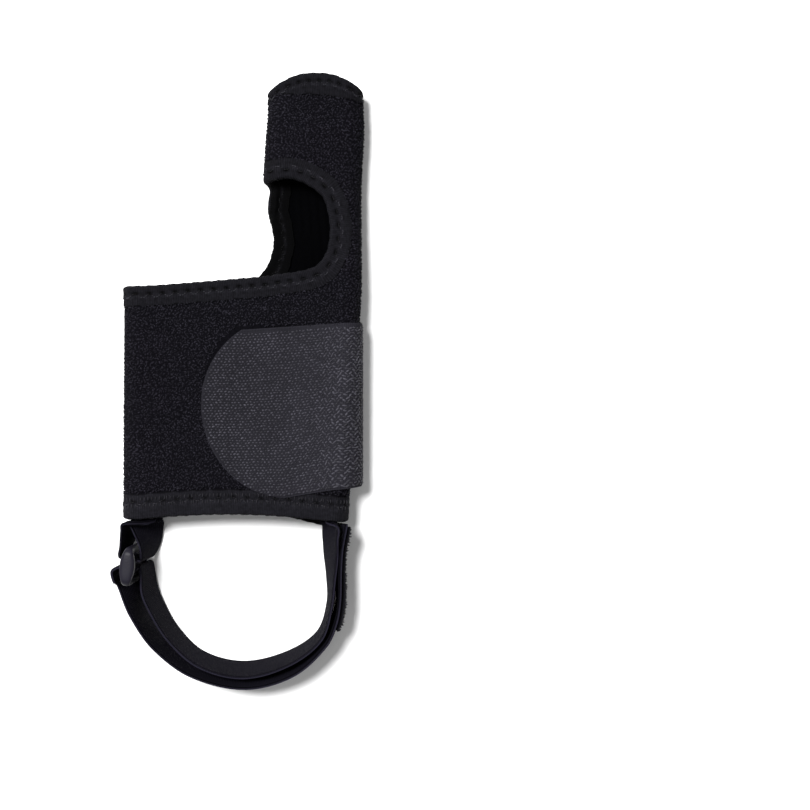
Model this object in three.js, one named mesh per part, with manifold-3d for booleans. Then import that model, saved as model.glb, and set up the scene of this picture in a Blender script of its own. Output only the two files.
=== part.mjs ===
// Bunion night splint, lying on its back with the toes towards +Y.
// A plush sleeve wraps the forefoot and grows into a sleeve for the big toe. Knit tape binds
// its edges, a hook-tape flap closes round the inner fold, and an elastic strap for the heel
// runs through a plastic ring that a short tab holds.
// Millimetres, +Z up. X is 0 at the fold on the big toe's side and Y is 0 at the heel edge.

import * as THREE from "three";
import { mergeVertices } from "three/addons/utils/BufferGeometryUtils.js";
import Module from "manifold-3d";

const wasm = await Module();
wasm.setup();

// Sleeve
const footWidth = 104;
const footLength = 101;
const footHeight = 19.5;
const heelTaper = 6;
const openingLength = 48.2;
const bridgeWidth = 12.6;
const toeLength = 38.8;
const toeWidth = 41.7;
const toeHeight = 15;
const toeDome = 7;
const toeBulge = 1.3;
const wall = 2.4;
const foldDepth = 6;
const crown = 0.8;
const heelSwell = 3.2;
const heelOutset = 0.4;
const heelDroop = 1.1;

// Edge bindings
const bindingWidth = 9;
const webBindingWidth = 8;
const bindingThickness = 0.7;
const bindingRoll = 1;

// Closure flap
const flapWidth = 72;
const flapMiddle = 50;
const flapReach = 70.3;
const flapRadius = 38.1;
const flapBackReach = 32;
const flapSlopeTop = 3.6;
const flapSlopeBottom = 5.3;
const flapThickness = 1.1;

// Heel strap, its hook patch, the ring and the ring's tab
const strapWidth = 20;
const strapThickness = 1.5;
const heelDrop = 76;
const patchLength = 46;
const patchWidth = 19;
const patchThickness = 1.2;
const tabThickness = 1.4;
const ringWidth = 17;
const ringHeight = 28.4;
const ringStock = 3.4;
const ringDepth = 6;
const ringCorner = 3.4;
const slotCorner = 1.2;
const ringEdge = 1;
const ringLean = 8;
const ringHeading = -95.7;

// Space left between pieces that touch
const clearance = 0.35;

// Sizes that follow
const openingTop = footLength + openingLength;
const toeEnd = openingTop + toeLength;
const bindingProud = clearance + bindingThickness;
const legOuter = wall / 2 + bindingProud;
const legInner = wall / 2 + clearance;
const biteWidth = toeWidth - bridgeWidth;
const footFull = (footHeight - wall) / 2;
const toeFull = (toeHeight - wall) / 2;
const slopeStart = footLength * 0.8;
const slopeEnd = openingTop + toeLength * 0.13;
const bulgeMiddle = openingTop + toeLength * 0.6;
const bulgeSpread = toeLength * 0.45;
const toeNarrowing = toeWidth * 0.05;
const domePower = 2.6;

const { clamp, lerp, smoothstep, degToRad } = THREE.MathUtils;

// Shape of the sleeve's edges. Along runs from the outer fold, 0, to the inner fold, 1, and
// rise is a share of heelSwell.
const heelBackEdge = [
  { along: 0, rise: 0 },
  { along: 0.3, rise: 0.7 },
  { along: 0.6, rise: 0.8 },
  { along: 0.75, rise: 0.23 },
  { along: 0.88, rise: -0.65 },
  { along: 0.94, rise: -0.8 },
  { along: 1, rise: 0 },
];

// The opening for the other toes: bite is a share of biteWidth from the bridge outwards, and
// up a share of openingLength above the foot's edge.
const frontOpening = [
  { bite: 0.783, up: 1.015 },
  { bite: 0.625, up: 1.02 },
  { bite: 0.388, up: 0.971 },
  { bite: 0.158, up: 0.873 },
  { bite: 0.065, up: 0.776 },
  { bite: 0, up: 0.57 },
  { bite: 0.031, up: 0.371 },
  { bite: 0.11, up: 0.259 },
  { bite: 0.25, up: 0.174 },
  { bite: 0.505, up: 0.127 },
  { bite: 0.852, up: 0.0975 },
  { bite: 1.086, up: 0.077 },
];
const backOpening = [
  { bite: 0.883, up: 0.944 },
  { bite: 0.9, up: 0.749 },
  { bite: 0.842, up: 0.469 },
  { bite: 0.9, up: 0.274 },
  { bite: 0.99, up: 0.174 },
  { bite: 1.13, up: 0.091 },
  { bite: 1.457, up: 0.048 },
];

// The outline that the opening is cut from: up as above, and out a share of the foot's width
// beyond the toe's
const flare = [
  { up: 0.03, out: 1 },
  { up: 0.5, out: 0.13 },
  { up: 0.75, out: 0 },
];

// The heel strap's two layers: x is a share of footWidth, y of heelDrop and z, the height of
// the lower edge, of strapWidth. Out is the heading of the lean in degrees, and low and high
// the web's slope in degrees at its lower and upper edge.
const strapInner = [
  { x: -0.153, y: -0.132, z: 0.22, out: 0, low: 62, high: 88 },
  { x: -0.144, y: -0.237, z: 0, out: 0, low: 77, high: 77 },
  { x: -0.132, y: -0.368, z: 0, out: 0, low: 84, high: 84 },
  { x: -0.129, y: -0.526, z: 0, out: -3, low: 89, high: 89 },
  { x: -0.173, y: -0.703, z: 0, out: -45, low: 88, high: 88 },
  { x: -0.308, y: -0.825, z: 0, out: -68, low: 83.5, high: 83.5 },
  { x: -0.497, y: -0.882, z: 0, out: -90, low: 79.6, high: 79.6 },
  { x: -0.673, y: -0.82, z: 0, out: -115, low: 79, high: 79 },
  { x: -0.788, y: -0.666, z: 0, out: -138, low: 76.5, high: 76.5 },
  { x: -0.856, y: -0.493, z: 0.02, out: -155, low: 74.2, high: 74.2 },
  { x: -0.874, y: -0.414, z: 0.04, out: -165, low: 73, high: 73 },
  { x: -0.883, y: -0.345, z: 0.02, out: -174, low: 75.5, high: 75.5 },
];
const strapOuter = [
  { x: -0.928, y: -0.546, z: 0, out: -152, low: 74.5, high: 74.5 },
  { x: -0.846, y: -0.714, z: 0, out: -137, low: 75.5, high: 75.5 },
  { x: -0.702, y: -0.872, z: 0, out: -115, low: 78, high: 78 },
  { x: -0.49, y: -0.946, z: 0, out: -90, low: 80, high: 80 },
  { x: -0.298, y: -0.888, z: 0, out: -68, low: 83, high: 83 },
  { x: -0.159, y: -0.737, z: 0, out: -42, low: 86.5, high: 86.5 },
  { x: -0.108, y: -0.612, z: 0, out: -20, low: 89, high: 89 },
  { x: -0.086, y: -0.487, z: 0, out: -5, low: 91, high: 91 },
  { x: -0.1125, y: -0.316, z: 0, out: 0, low: 82, high: 82 },
  { x: -0.123, y: -0.197, z: 0, out: 0, low: 77, high: 77 },
  { x: -0.104, y: -0.121, z: 0.06, out: 8, low: 80, high: 80 },
  { x: -0.0965, y: -0.082, z: 0.1, out: 20, low: 80, high: 80 },
];

// How the strap threads the ring: towards is a share of the slot's half width, from its middle
// to the strap's bar, and off a share of the strap's place on the bar's outer face
const strapThroughRing = [
  { towards: 0.43, off: -0.62 },
  { towards: 0.235, off: 0.22 },
  { towards: 0.196, off: 1.07 },
  { towards: 0.627, off: 1.73 },
  { towards: 1.57, off: 1.3 },
];

// The ring's tab, read as the strap is, on its way to the ring and back from it
const tabToRing = [
  { x: -0.844, y: -0.076, z: 0.09, out: 180, low: 50, high: 66 },
  { x: -0.857, y: -0.168, z: 0.02, out: 178, low: 68, high: 71 },
  { x: -0.879, y: -0.222, z: 0.06, out: 175, low: 75, high: 76 },
];
const tabFromRing = [
  { x: -0.983, y: -0.172, z: 0.03, out: 176, low: 79, high: 79 },
  { x: -0.958, y: -0.12, z: 0.03, out: 178, low: 70, high: 71 },
  { x: -0.938, y: -0.077, z: 0.09, out: 180, low: 59, high: 72 },
];

// How the tab threads the ring: towards is a share of the way from the slot's middle to the
// tab's place beside its own bar, and off a share of its place beside the ring's face
const tabThroughRing = [
  { towards: 1, off: -1.12 },
  { towards: 0.86, off: -0.5 },
  { towards: 0.86, off: 0.5 },
  { towards: 1, off: 1 },
];

// Where the ring's middle stands, as shares of footWidth and heelDrop
const ringPlace = { x: -0.966, y: -0.277 };

// Smooth reading of one column of a table against another
function read(rows, key, column, at) {
  const last = rows.length - 1;
  let i = 0;
  while (i < last - 1 && rows[i + 1][key] < at) i += 1;
  const slope = (k) => {
    const before = rows[Math.max(k - 1, 0)];
    const after = rows[Math.min(k + 1, last)];
    return (after[column] - before[column]) / (after[key] - before[key]);
  };
  const span = rows[i + 1][key] - rows[i][key];
  const t = (at - rows[i][key]) / span;
  const start = rows[i][column];
  const rise = rows[i + 1][column] - start;
  const leave = slope(i) * span;
  const arrive = slope(i + 1) * span;
  return start + t * (leave + t * (3 * rise - 2 * leave - arrive + t * (leave + arrive - 2 * rise)));
}

// The same in straight stretches, level past the ends
function readStraight(rows, key, column, at) {
  const next = rows.findIndex((row) => row[key] > at);
  if (next < 0) return rows[rows.length - 1][column];
  if (next === 0) return rows[0][column];
  const [before, after] = [rows[next - 1], rows[next]];
  return lerp(before[column], after[column], (at - before[key]) / (after[key] - before[key]));
}

// Outline of the sleeve at y: the two folds' outer faces
function innerFold(y) {
  const taper = -heelTaper * clamp(1 - y / footLength, 0, 2);
  return taper + toeBulge * Math.exp(-(((y - bulgeMiddle) / bulgeSpread) ** 2));
}

function outerFold(y) {
  const up = (y - footLength) / openingLength;
  const widening = (footWidth - toeWidth) * readStraight(flare, "up", "out", up);
  return toeNarrowing * smoothstep(y, openingTop, toeEnd) - toeWidth - widening;
}

// Half the height of the wall's middle surface, and the height of its centre
function halfHeight(y) {
  return lerp(footFull, toeFull, smoothstep(y, slopeStart, slopeEnd));
}

function centreHeight(y) {
  const seat = lerp(flapThickness + clearance, bindingProud, smoothstep(y, footLength, openingTop));
  return seat + wall / 2 + halfHeight(y);
}

// Length round a fold, a quarter turn of an ellipse
function quarter(y) {
  const high = halfHeight(y);
  const cross = Math.sqrt((3 * foldDepth + high) * (foldDepth + 3 * high));
  return (Math.PI / 4) * (3 * (foldDepth + high) - cross);
}

function flatWidth(y) {
  return innerFold(y) - outerFold(y) - wall - 2 * foldDepth;
}

// Half the length round the sleeve
function halfGirth(y) {
  return 2 * quarter(y) + flatWidth(y);
}

// Point of the wall, u from the inner fold: positive over the front, negative over the back,
// and offset from the middle surface. The normal comes with it.
function sleevePoint(u, y, offset = 0) {
  const half = halfGirth(y);
  const turn = quarter(y);
  const flat = flatWidth(y);
  let side = u < 0 ? -1 : 1;
  let reach = Math.abs(u);
  if (reach > half) {
    reach = 2 * half - reach;
    side = -side;
  }
  const high = halfHeight(y);
  const right = innerFold(y) - wall / 2 - foldDepth;
  const onFlat = clamp(reach - turn, 0, flat);
  const cap = reach < turn ? 1 : -1;
  const past = reach < turn ? reach : Math.max(half - reach, 0);
  const angle = Math.min(past / turn, 1) * (Math.PI / 2);
  const arch = side > 0 ? crown * Math.sin((Math.PI * onFlat) / flat) ** 2 : 0;
  const normal = new THREE.Vector3(
    (cap * Math.cos(angle)) / foldDepth, 0, (side * Math.sin(angle)) / high,
  ).normalize();
  const point = new THREE.Vector3(
    right - onFlat + cap * foldDepth * Math.cos(angle),
    y,
    centreHeight(y) + side * (high * Math.sin(angle) + arch),
  );
  return { point: point.addScaledVector(normal, offset), normal };
}

// Where a place x across the sleeve lies round it, on the front
function roundTo(x, y) {
  const turn = quarter(y);
  const inset = innerFold(y) - wall / 2 - x;
  const far = x - outerFold(y) - wall / 2;
  const arc = (depth) => (turn * Math.acos(clamp(1 - depth / foldDepth, -1, 1))) / (Math.PI / 2);
  if (inset < foldDepth) return arc(inset);
  if (far < foldDepth) return halfGirth(y) - arc(far);
  return turn + inset - foldDepth;
}

// Share of the width, 0 at the outer fold and 1 at the inner, of a place round the sleeve
function shareAcross(u, y) {
  const { point } = sleevePoint(u, y);
  return clamp((point.x - outerFold(y) - wall / 2) / (innerFold(y) - outerFold(y) - wall), 0, 1);
}

function heelEdge(u) {
  const share = shareAcross(u, 0);
  const base = -heelOutset - heelDroop * share;
  if (u >= 0) return base + heelSwell * Math.sin(Math.PI * share);
  return base + heelSwell * read(heelBackEdge, "along", "rise", share);
}

function toeEdge(u) {
  const share = shareAcross(u, toeEnd);
  return toeEnd + toeDome * (1 - Math.abs(2 * share - 1) ** domePower);
}

// A closed sheet between an outer and an inner grid of points, joined along its open edges
function sheetBetween(outer, inner, { rowsLoop = false, colsLoop = false } = {}) {
  const rows = outer.length;
  const cols = outer[0].length;
  const points = [...outer.flat(), ...inner.flat()];
  const corner = (layer, r, c) => (layer * rows + (r % rows)) * cols + (c % cols);
  let faces = [];
  const quad = (a, b, c, d) => faces.push([a, b, c], [a, c, d]);
  const rowSteps = rowsLoop ? rows : rows - 1;
  const colSteps = colsLoop ? cols : cols - 1;
  for (let r = 0; r < rowSteps; r += 1) {
    for (let c = 0; c < colSteps; c += 1) {
      quad(corner(0, r, c), corner(0, r, c + 1), corner(0, r + 1, c + 1), corner(0, r + 1, c));
      quad(corner(1, r, c), corner(1, r + 1, c), corner(1, r + 1, c + 1), corner(1, r, c + 1));
    }
  }
  if (!rowsLoop) {
    for (let c = 0; c < colSteps; c += 1) {
      const end = rows - 1;
      quad(corner(0, 0, c), corner(1, 0, c), corner(1, 0, c + 1), corner(0, 0, c + 1));
      quad(corner(0, end, c), corner(0, end, c + 1), corner(1, end, c + 1), corner(1, end, c));
    }
  }
  if (!colsLoop) {
    for (let r = 0; r < rowSteps; r += 1) {
      const end = cols - 1;
      quad(corner(0, r, 0), corner(0, r + 1, 0), corner(1, r + 1, 0), corner(1, r, 0));
      quad(corner(0, r, end), corner(1, r, end), corner(1, r + 1, end), corner(0, r + 1, end));
    }
  }
  const volume = faces.reduce((sum, [a, b, c]) => {
    return sum + points[a].dot(new THREE.Vector3().crossVectors(points[b], points[c]));
  }, 0);
  if (volume < 0) faces = faces.map(([a, b, c]) => [a, c, b]);
  const geometry = new THREE.BufferGeometry().setFromPoints(points);
  geometry.setIndex(faces.flat());
  return geometry;
}

function solid(geometry) {
  const bare = geometry.clone();
  bare.deleteAttribute("normal");
  bare.deleteAttribute("uv");
  const merged = mergeVertices(bare, 1e-4);
  return new wasm.Manifold(new wasm.Mesh({
    numProp: 3,
    vertProperties: new Float32Array(merged.attributes.position.array),
    triVerts: new Uint32Array(merged.index.array),
  }));
}

function geometryOf(manifold) {
  const mesh = manifold.getMesh();
  const geometry = new THREE.BufferGeometry();
  geometry.setAttribute("position", new THREE.BufferAttribute(new Float32Array(mesh.vertProperties), 3));
  geometry.setIndex(new THREE.BufferAttribute(new Uint32Array(mesh.triVerts), 1));
  return geometry;
}

// Spacing of places along the toes' opening, on the flat and closer on the fold, where a turn
// of that many radians also makes a place
const flatSpacing = 4.2;
const foldSpacing = flatSpacing / 2;
const foldTurn = 0.2;
const fineStep = flatSpacing / 8;

// Path of the toes' opening over one side, as places round the sleeve, fold to fold
function openingPath(rows, side) {
  const knots = [new THREE.Vector2(halfGirth(openingTop), openingTop)];
  for (const { bite, up } of rows) {
    const y = footLength + up * openingLength;
    knots.push(new THREE.Vector2(roundTo(-bridgeWidth - bite * biteWidth, y), y));
  }
  for (const share of [0.85, 1]) {
    knots.push(new THREE.Vector2(halfGirth(footLength) * share, footLength));
  }
  const path = new THREE.SplineCurve(knots);
  const fine = path.getSpacedPoints(Math.round(path.getLength() / fineStep));
  const places = [fine[0]];
  let since = 0;
  let turned = 0;
  for (let i = 1; i < fine.length - 1; i += 1) {
    const step = fine[i].clone().sub(fine[i - 1]);
    const next = fine[i + 1].clone().sub(fine[i]);
    since += step.length();
    turned += Math.abs(step.cross(next)) / step.lengthSq();
    const onFold = halfGirth(fine[i].y) - fine[i].x < quarter(fine[i].y);
    const spacing = onFold ? foldSpacing : flatSpacing;
    if (since < spacing && !(onFold && turned > foldTurn)) continue;
    places.push(fine[i]);
    since = 0;
    turned = 0;
  }
  places.push(fine[fine.length - 1]);
  return places.map(({ x, y }) => ({ u: side * Math.min(x, halfGirth(y)), y }));
}

const frontPath = openingPath(frontOpening, 1);
const backPath = openingPath(backOpening, -1);

// What the opening takes out of one layer: an upright prism past the outer fold
function openingCutter(path, from, to) {
  const beyond = -footWidth * 1.3;
  const inset = wall / 2;
  const flatPath = path.map(({ u, y }) => sleevePoint(u, y).point);
  const outline = [new THREE.Vector2(beyond, openingTop + inset)];
  outline.push(new THREE.Vector2(flatPath[0].x - wall, openingTop + inset));
  flatPath.forEach((place, i) => {
    const before = flatPath[Math.max(i - 1, 0)];
    const after = flatPath[Math.min(i + 1, flatPath.length - 1)];
    const along = new THREE.Vector2(after.x - before.x, after.y - before.y).normalize();
    outline.push(new THREE.Vector2(place.x - along.y * inset, place.y + along.x * inset));
  });
  outline.push(new THREE.Vector2(beyond, footLength - inset));
  const shape = new THREE.Shape(outline);
  const prism = new THREE.ExtrudeGeometry(shape, { depth: to - from, bevelEnabled: false });
  return solid(prism.translate(0, 0, from));
}

// Stations round the sleeve, as turns of a fold's quarter and widths of the flat between them
const foldSteps = 5;
const flatSteps = 8;
const stations = [];
for (const side of [0, 1]) {
  for (let k = 0; k < foldSteps; k += 1) {
    stations.push({ turns: 2 * side + k / foldSteps, flats: side });
  }
  for (let k = 0; k < flatSteps; k += 1) {
    stations.push({ turns: 2 * side + 1, flats: side + k / flatSteps });
  }
  for (let k = 0; k < foldSteps; k += 1) {
    stations.push({ turns: 2 * side + 1 + k / foldSteps, flats: side + 1 });
  }
}

function stationPlace({ turns, flats }, y) {
  const u = turns * quarter(y) + flats * flatWidth(y);
  return u > halfGirth(y) ? u - 2 * halfGirth(y) : u;
}

function sleeve() {
  const footRows = 9;
  const toeRows = 7;
  const marks = [];
  for (let k = 0; k < footRows; k += 1) marks.push((footLength * k) / footRows);
  for (const up of [0, 0.03, 0.25, 0.5, 0.75]) marks.push(footLength + up * openingLength);
  for (let k = 0; k <= toeRows; k += 1) marks.push(openingTop + (toeLength * k) / toeRows);
  const grid = (offset) => {
    return marks.map((mark) => stations.map((station) => {
      const atHeel = clamp(1 - (2 * mark) / footLength, 0, 1);
      const atToe = clamp((mark - openingTop) / toeLength, 0, 1);
      const heel = heelEdge(stationPlace(station, 0));
      const toe = toeEdge(stationPlace(station, toeEnd)) - toeEnd;
      const y = mark + atHeel * heel + atToe * toe;
      return sleevePoint(stationPlace(station, y), y, offset).point;
    }));
  };
  const middle = centreHeight(openingTop);
  const tube = solid(sheetBetween(grid(wall / 2), grid(-wall / 2), { colsLoop: true }));
  const front = openingCutter(frontPath, middle, middle + 2 * footHeight);
  const back = openingCutter(backPath, middle - 2 * footHeight, middle);
  return geometryOf(tube.subtract(front).subtract(back));
}

// Where the place u at y comes to at another y: it keeps its distance from the inner fold, and
// near the outer fold, where the sleeve has one, from that
function carried(u, y, newY) {
  if (y > footLength + heelSwell && y < openingTop) return u;
  const half = halfGirth(y);
  const nearOuter = smoothstep(Math.abs(u), half - 2 * quarter(y), half - 0.5 * quarter(y));
  return u + Math.sign(u) * nearOuter * (halfGirth(newY) - half);
}

// A tape folded over an edge of the sleeve. Each place on the edge says how far the tape's
// legs reach and which way the sleeve lies from it: round, towards +u, and up, towards +y.
function binding(places, legSteps) {
  const outerFace = [];
  const innerFace = [];
  places.forEach(({ u, y, reach, round, up }) => {
    const leg = [];
    for (let k = legSteps; k > 0; k -= 1) leg.push((reach * k) / legSteps);
    const place = (a, b) => {
      const newY = y + a * up;
      return sleevePoint(carried(u, y, newY) + a * round, newY, b).point;
    };
    const face = (web, roll, b) => [
      ...leg.map((a) => place(a, b)), place(web, b), place(roll, 0), place(web, -b),
      ...leg.map((a) => place(a, -b)).reverse(),
    ];
    outerFace.push(face(0, -bindingRoll, legOuter));
    innerFace.push(face(-clearance, -clearance, legInner));
  });
  return sheetBetween(outerFace, innerFace, { rowsLoop: true });
}

// Places all the way round an edge that crosses the whole sleeve
function edgeRound(edge, y, up, reachAt) {
  return stations.map((station) => {
    const u = stationPlace(station, y);
    const place = edge(u);
    return { u: stationPlace(station, place), y: place, reach: reachAt(u), round: 0, up };
  });
}

// Places round the toes' opening, over the front and back along the back layer
function openingRound() {
  const path = [...frontPath, ...backPath.slice(1, -1).reverse()];
  return path.map(({ u, y }, i) => {
    const { normal } = sleevePoint(u, y);
    const before = path[(i + path.length - 1) % path.length];
    const after = path[(i + 1) % path.length];
    const along = sleevePoint(after.u, after.y).point.sub(sleevePoint(before.u, before.y).point);
    along.addScaledVector(normal, -along.dot(normal)).normalize();
    const inwards = new THREE.Vector3().crossVectors(normal, along);
    const round = new THREE.Vector3().crossVectors(normal, new THREE.Vector3(0, 1, 0)).dot(inwards);
    return { u, y, reach: webBindingWidth - bindingRoll, round, up: inwards.y };
  });
}

// The toe binding's raw edge runs nearly straight under the dome
function toeReach(u) {
  const share = shareAcross(u, toeEnd);
  const below = lerp(0.22, 0.55, share) - 0.17 * Math.sin(Math.PI * share);
  return toeEdge(u) - toeEnd + bindingWidth * below;
}

// Hook-tape flap: sewn to the back, round the inner fold and over the front to a round end
function closureFlap() {
  const top = flapMiddle + flapWidth / 2;
  const bottom = flapMiddle - flapWidth / 2;
  const cornerTop = top - flapSlopeTop;
  const roundBottom = bottom - flapSlopeBottom;
  const centre = flapRadius - flapReach;
  const lowerRadius = flapMiddle - roundBottom;
  const cornerAngle = Math.asin(Math.min((cornerTop - flapMiddle) / flapRadius, 1));
  const cornerX = centre - flapRadius * Math.cos(cornerAngle);
  const rows = 15;
  const steps = { back: 3, fold: 10, over: 8 };
  const half = wall / 2 + clearance;
  const turn = quarter(flapMiddle);
  const backStart = -(turn + flapBackReach);
  const bindingTop = bindingWidth + heelSwell;
  const bowReach = 1.4;
  const liftOverBinding = (u, y) => {
    const near = 1 - smoothstep(y, bindingTop, bindingTop + flapWidth / 6);
    return u > 0 ? bindingProud * near * smoothstep(u, 0, turn) : 0;
  };
  const grid = (offset) => {
    const lines = [];
    for (let r = 0; r < rows; r += 1) {
      const angle = lerp(-Math.PI / 2, cornerAngle, r / (rows - 1));
      const tipX = centre - flapRadius * Math.cos(angle);
      const tipY = flapMiddle + (angle < 0 ? lowerRadius : flapRadius) * Math.sin(angle);
      const share = (tipY - roundBottom) / (cornerTop - roundBottom);
      const tip = roundTo(tipX, tipY);
      const places = [];
      for (let k = 0; k < steps.back; k += 1) places.push(lerp(backStart, -turn, k / steps.back));
      for (let k = 0; k < steps.fold; k += 1) places.push(lerp(-turn, turn, k / steps.fold));
      for (let k = 0; k <= steps.over; k += 1) places.push(lerp(turn, tip, k / steps.over));
      lines.push(places.map((u) => {
        const over = sleevePoint(u, flapMiddle).point.x;
        const low = u < 0 ? bottom : lerp(bottom, roundBottom, clamp(over / centre, 0, 1));
        const high = u < 0 ? top : lerp(top, cornerTop, clamp(over / cornerX, 0, 1));
        const y = lerp(low, high, share);
        const { point } = sleevePoint(u, y, offset + liftOverBinding(u, y));
        const fromFold = clamp(u / (bowReach * turn), -1, 1);
        point.x -= innerFold(y) * Math.cos((Math.PI / 2) * fromFold) ** 2;
        return point;
      }));
    }
    return lines;
  };
  return sheetBetween(grid(half + flapThickness), grid(half));
}

// Height of a leaning strap's middle surface where its lower edge stands
const standing = strapThickness * 0.14;

// A strap's table in millimetres, its bend over the whole of its width
function strapRows(rows) {
  return rows.map((row) => ({
    ...row,
    x: row.x * footWidth,
    y: row.y * heelDrop,
    z: row.z * strapWidth + standing,
    from: 0,
    to: 1,
  }));
}

// The end of a strap curled inside a fold: sign 1 lies in the inner fold, -1 in the outer
function curledEnd(foldInside, radius, sign, depths, lead) {
  const reach = lead + (Math.PI * radius) / strapWidth;
  return depths.map((y) => ({
    x: foldInside - sign * (radius + lead * strapWidth),
    y,
    z: centreHeight(0) - radius,
    out: sign > 0 ? 0 : 180,
    low: 0,
    high: 180,
    from: lead,
    to: Math.min(reach, 1),
  }));
}

const slotHalf = ringWidth / 2 - ringStock;
const lean = degToRad(ringLean);
const ringUp = Math.cos(lean);
const ringCentre = new THREE.Vector3(
  ringPlace.x * footWidth,
  ringPlace.y * heelDrop,
  (ringHeight * ringUp + ringDepth * Math.sin(lean)) / 2,
);
const heading = degToRad(ringHeading);
const ringAlong = new THREE.Vector3(Math.cos(heading), Math.sin(heading), 0);
const ringOut = new THREE.Vector3(ringAlong.y, -ringAlong.x, 0);
const ringRise = ringOut.clone().multiplyScalar(Math.sin(lean)).setZ(ringUp);

// The table row of webbing that stands beside the ring, along it and off its mid plane
function ringRow(along, off, out) {
  const place = ringCentre.clone()
    .addScaledVector(ringAlong, along)
    .addScaledVector(ringOut, off)
    .addScaledVector(ringRise, -strapWidth / 2);
  const slope = 90 - ringLean;
  return { x: place.x, y: place.y, z: place.z, out, low: slope, high: slope, from: 0, to: 1 };
}

// Longest step along webbing, and the parts that its bend is summed over across its width
const longestStep = 8;
const partsAcross = 64;

// Webbing laid through rows of a table: width across it, thickness, shift of its middle off
// the table's surface, and how much of the far end it takes
function webbing(rows, { width, thickness, shift = 0, across = 6, length = Infinity, trim = 0 }) {
  let reach = 0;
  const table = rows.map((row, i) => {
    if (i > 0) {
      const last = rows[i - 1];
      reach += Math.hypot(row.x - last.x, row.y - last.y, row.z - last.z);
    }
    return { ...row, reach };
  });
  const begin = Math.max(0, reach - trim - length);
  const end = reach - trim;
  const marks = [begin];
  table.forEach((row, i) => {
    if (i === 0) return;
    const from = Math.max(table[i - 1].reach, begin);
    const to = Math.min(row.reach, end);
    const steps = Math.ceil((to - from) / longestStep);
    for (let k = 1; k <= steps; k += 1) marks.push(lerp(from, to, k / steps));
  });
  const margin = (strapWidth - width) / 2;
  const middle = marks.map((at) => {
    const value = (column) => read(table, "reach", column, at);
    const leaning = degToRad(value("out"));
    const outwards = new THREE.Vector3(Math.cos(leaning), Math.sin(leaning), 0);
    const place = new THREE.Vector3(value("x"), value("y"), Math.max(value("z"), standing));
    const [from, to] = [value("from"), value("to")];
    const [low, high] = [value("low"), value("high")];
    const line = [];
    let walked = 0;
    const walk = (distance) => {
      const steps = Math.max(1, Math.round((partsAcross * distance) / strapWidth));
      for (let k = 0; k < steps; k += 1) {
        const share = (walked + (distance * (k + 0.5)) / steps) / strapWidth;
        const slope = degToRad(lerp(low, high, clamp((share - from) / (to - from), 0, 1)));
        place.addScaledVector(outwards, (Math.cos(slope) * distance) / steps);
        place.z += (Math.sin(slope) * distance) / steps;
      }
      walked += distance;
    };
    if (margin > 0) walk(margin);
    line.push(place.clone());
    for (let c = 0; c < across; c += 1) {
      walk(width / across);
      line.push(place.clone());
    }
    return line;
  });
  const face = (offset) => middle.map((line, r) => line.map((place, c) => {
    const next = middle[Math.min(r + 1, middle.length - 1)][c];
    const previous = middle[Math.max(r - 1, 0)][c];
    const along = next.clone().sub(previous);
    const up = line[Math.min(c + 1, across)].clone().sub(line[Math.max(c - 1, 0)]);
    return place.clone().addScaledVector(along.cross(up).normalize(), offset);
  }));
  return sheetBetween(face(shift + thickness / 2), face(shift - thickness / 2));
}

// Curls of the strap and of the tab's two layers inside the heel edge
const curlRoom = footHeight / 2 - wall - bindingProud - clearance;
const strapCurl = curlRoom - strapThickness / 2;
const tabCurl = curlRoom - tabThickness / 2;
const tabInnerCurl = tabCurl - tabThickness - clearance;
const curlDepths = [bindingWidth * 1.35, bindingWidth * 0.45, -2 * bindingRoll];
const tabInnerLead = 0.325;
const inset = wall + bindingProud + clearance;
const innerFoldInside = innerFold(0) - inset - strapThickness / 2;
const outerFoldInside = outerFold(0) + inset + tabThickness / 2;

const strapOnBar = ringDepth / 2 + clearance + strapThickness / 2;
const heelStrapRows = [
  ...curledEnd(innerFoldInside, strapCurl, 1, curlDepths, 1 - (Math.PI * strapCurl) / strapWidth),
  ...strapRows(strapInner),
  ...strapThroughRing.map(({ towards, off }) => {
    return ringRow(towards * slotHalf, off * strapOnBar, ringHeading - 90);
  }),
  ...strapRows(strapOuter),
];

function ringTabRows() {
  const inside = outerFoldInside + tabThickness + clearance;
  const inner = curledEnd(inside, tabInnerCurl, -1, curlDepths, tabInnerLead);
  const outer = curledEnd(outerFoldInside, tabCurl, -1, curlDepths, 0).reverse();
  const beside = tabThickness / 2 + 2 * clearance;
  const along = beside - slotHalf;
  const face = ringDepth / 2 + beside;
  return [
    ...inner,
    ...strapRows(tabToRing),
    ...tabThroughRing.map(({ towards, off }) => {
      return ringRow(towards * along, off * face, ringHeading + 270);
    }),
    ...strapRows(tabFromRing),
    ...outer,
  ];
}

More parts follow.
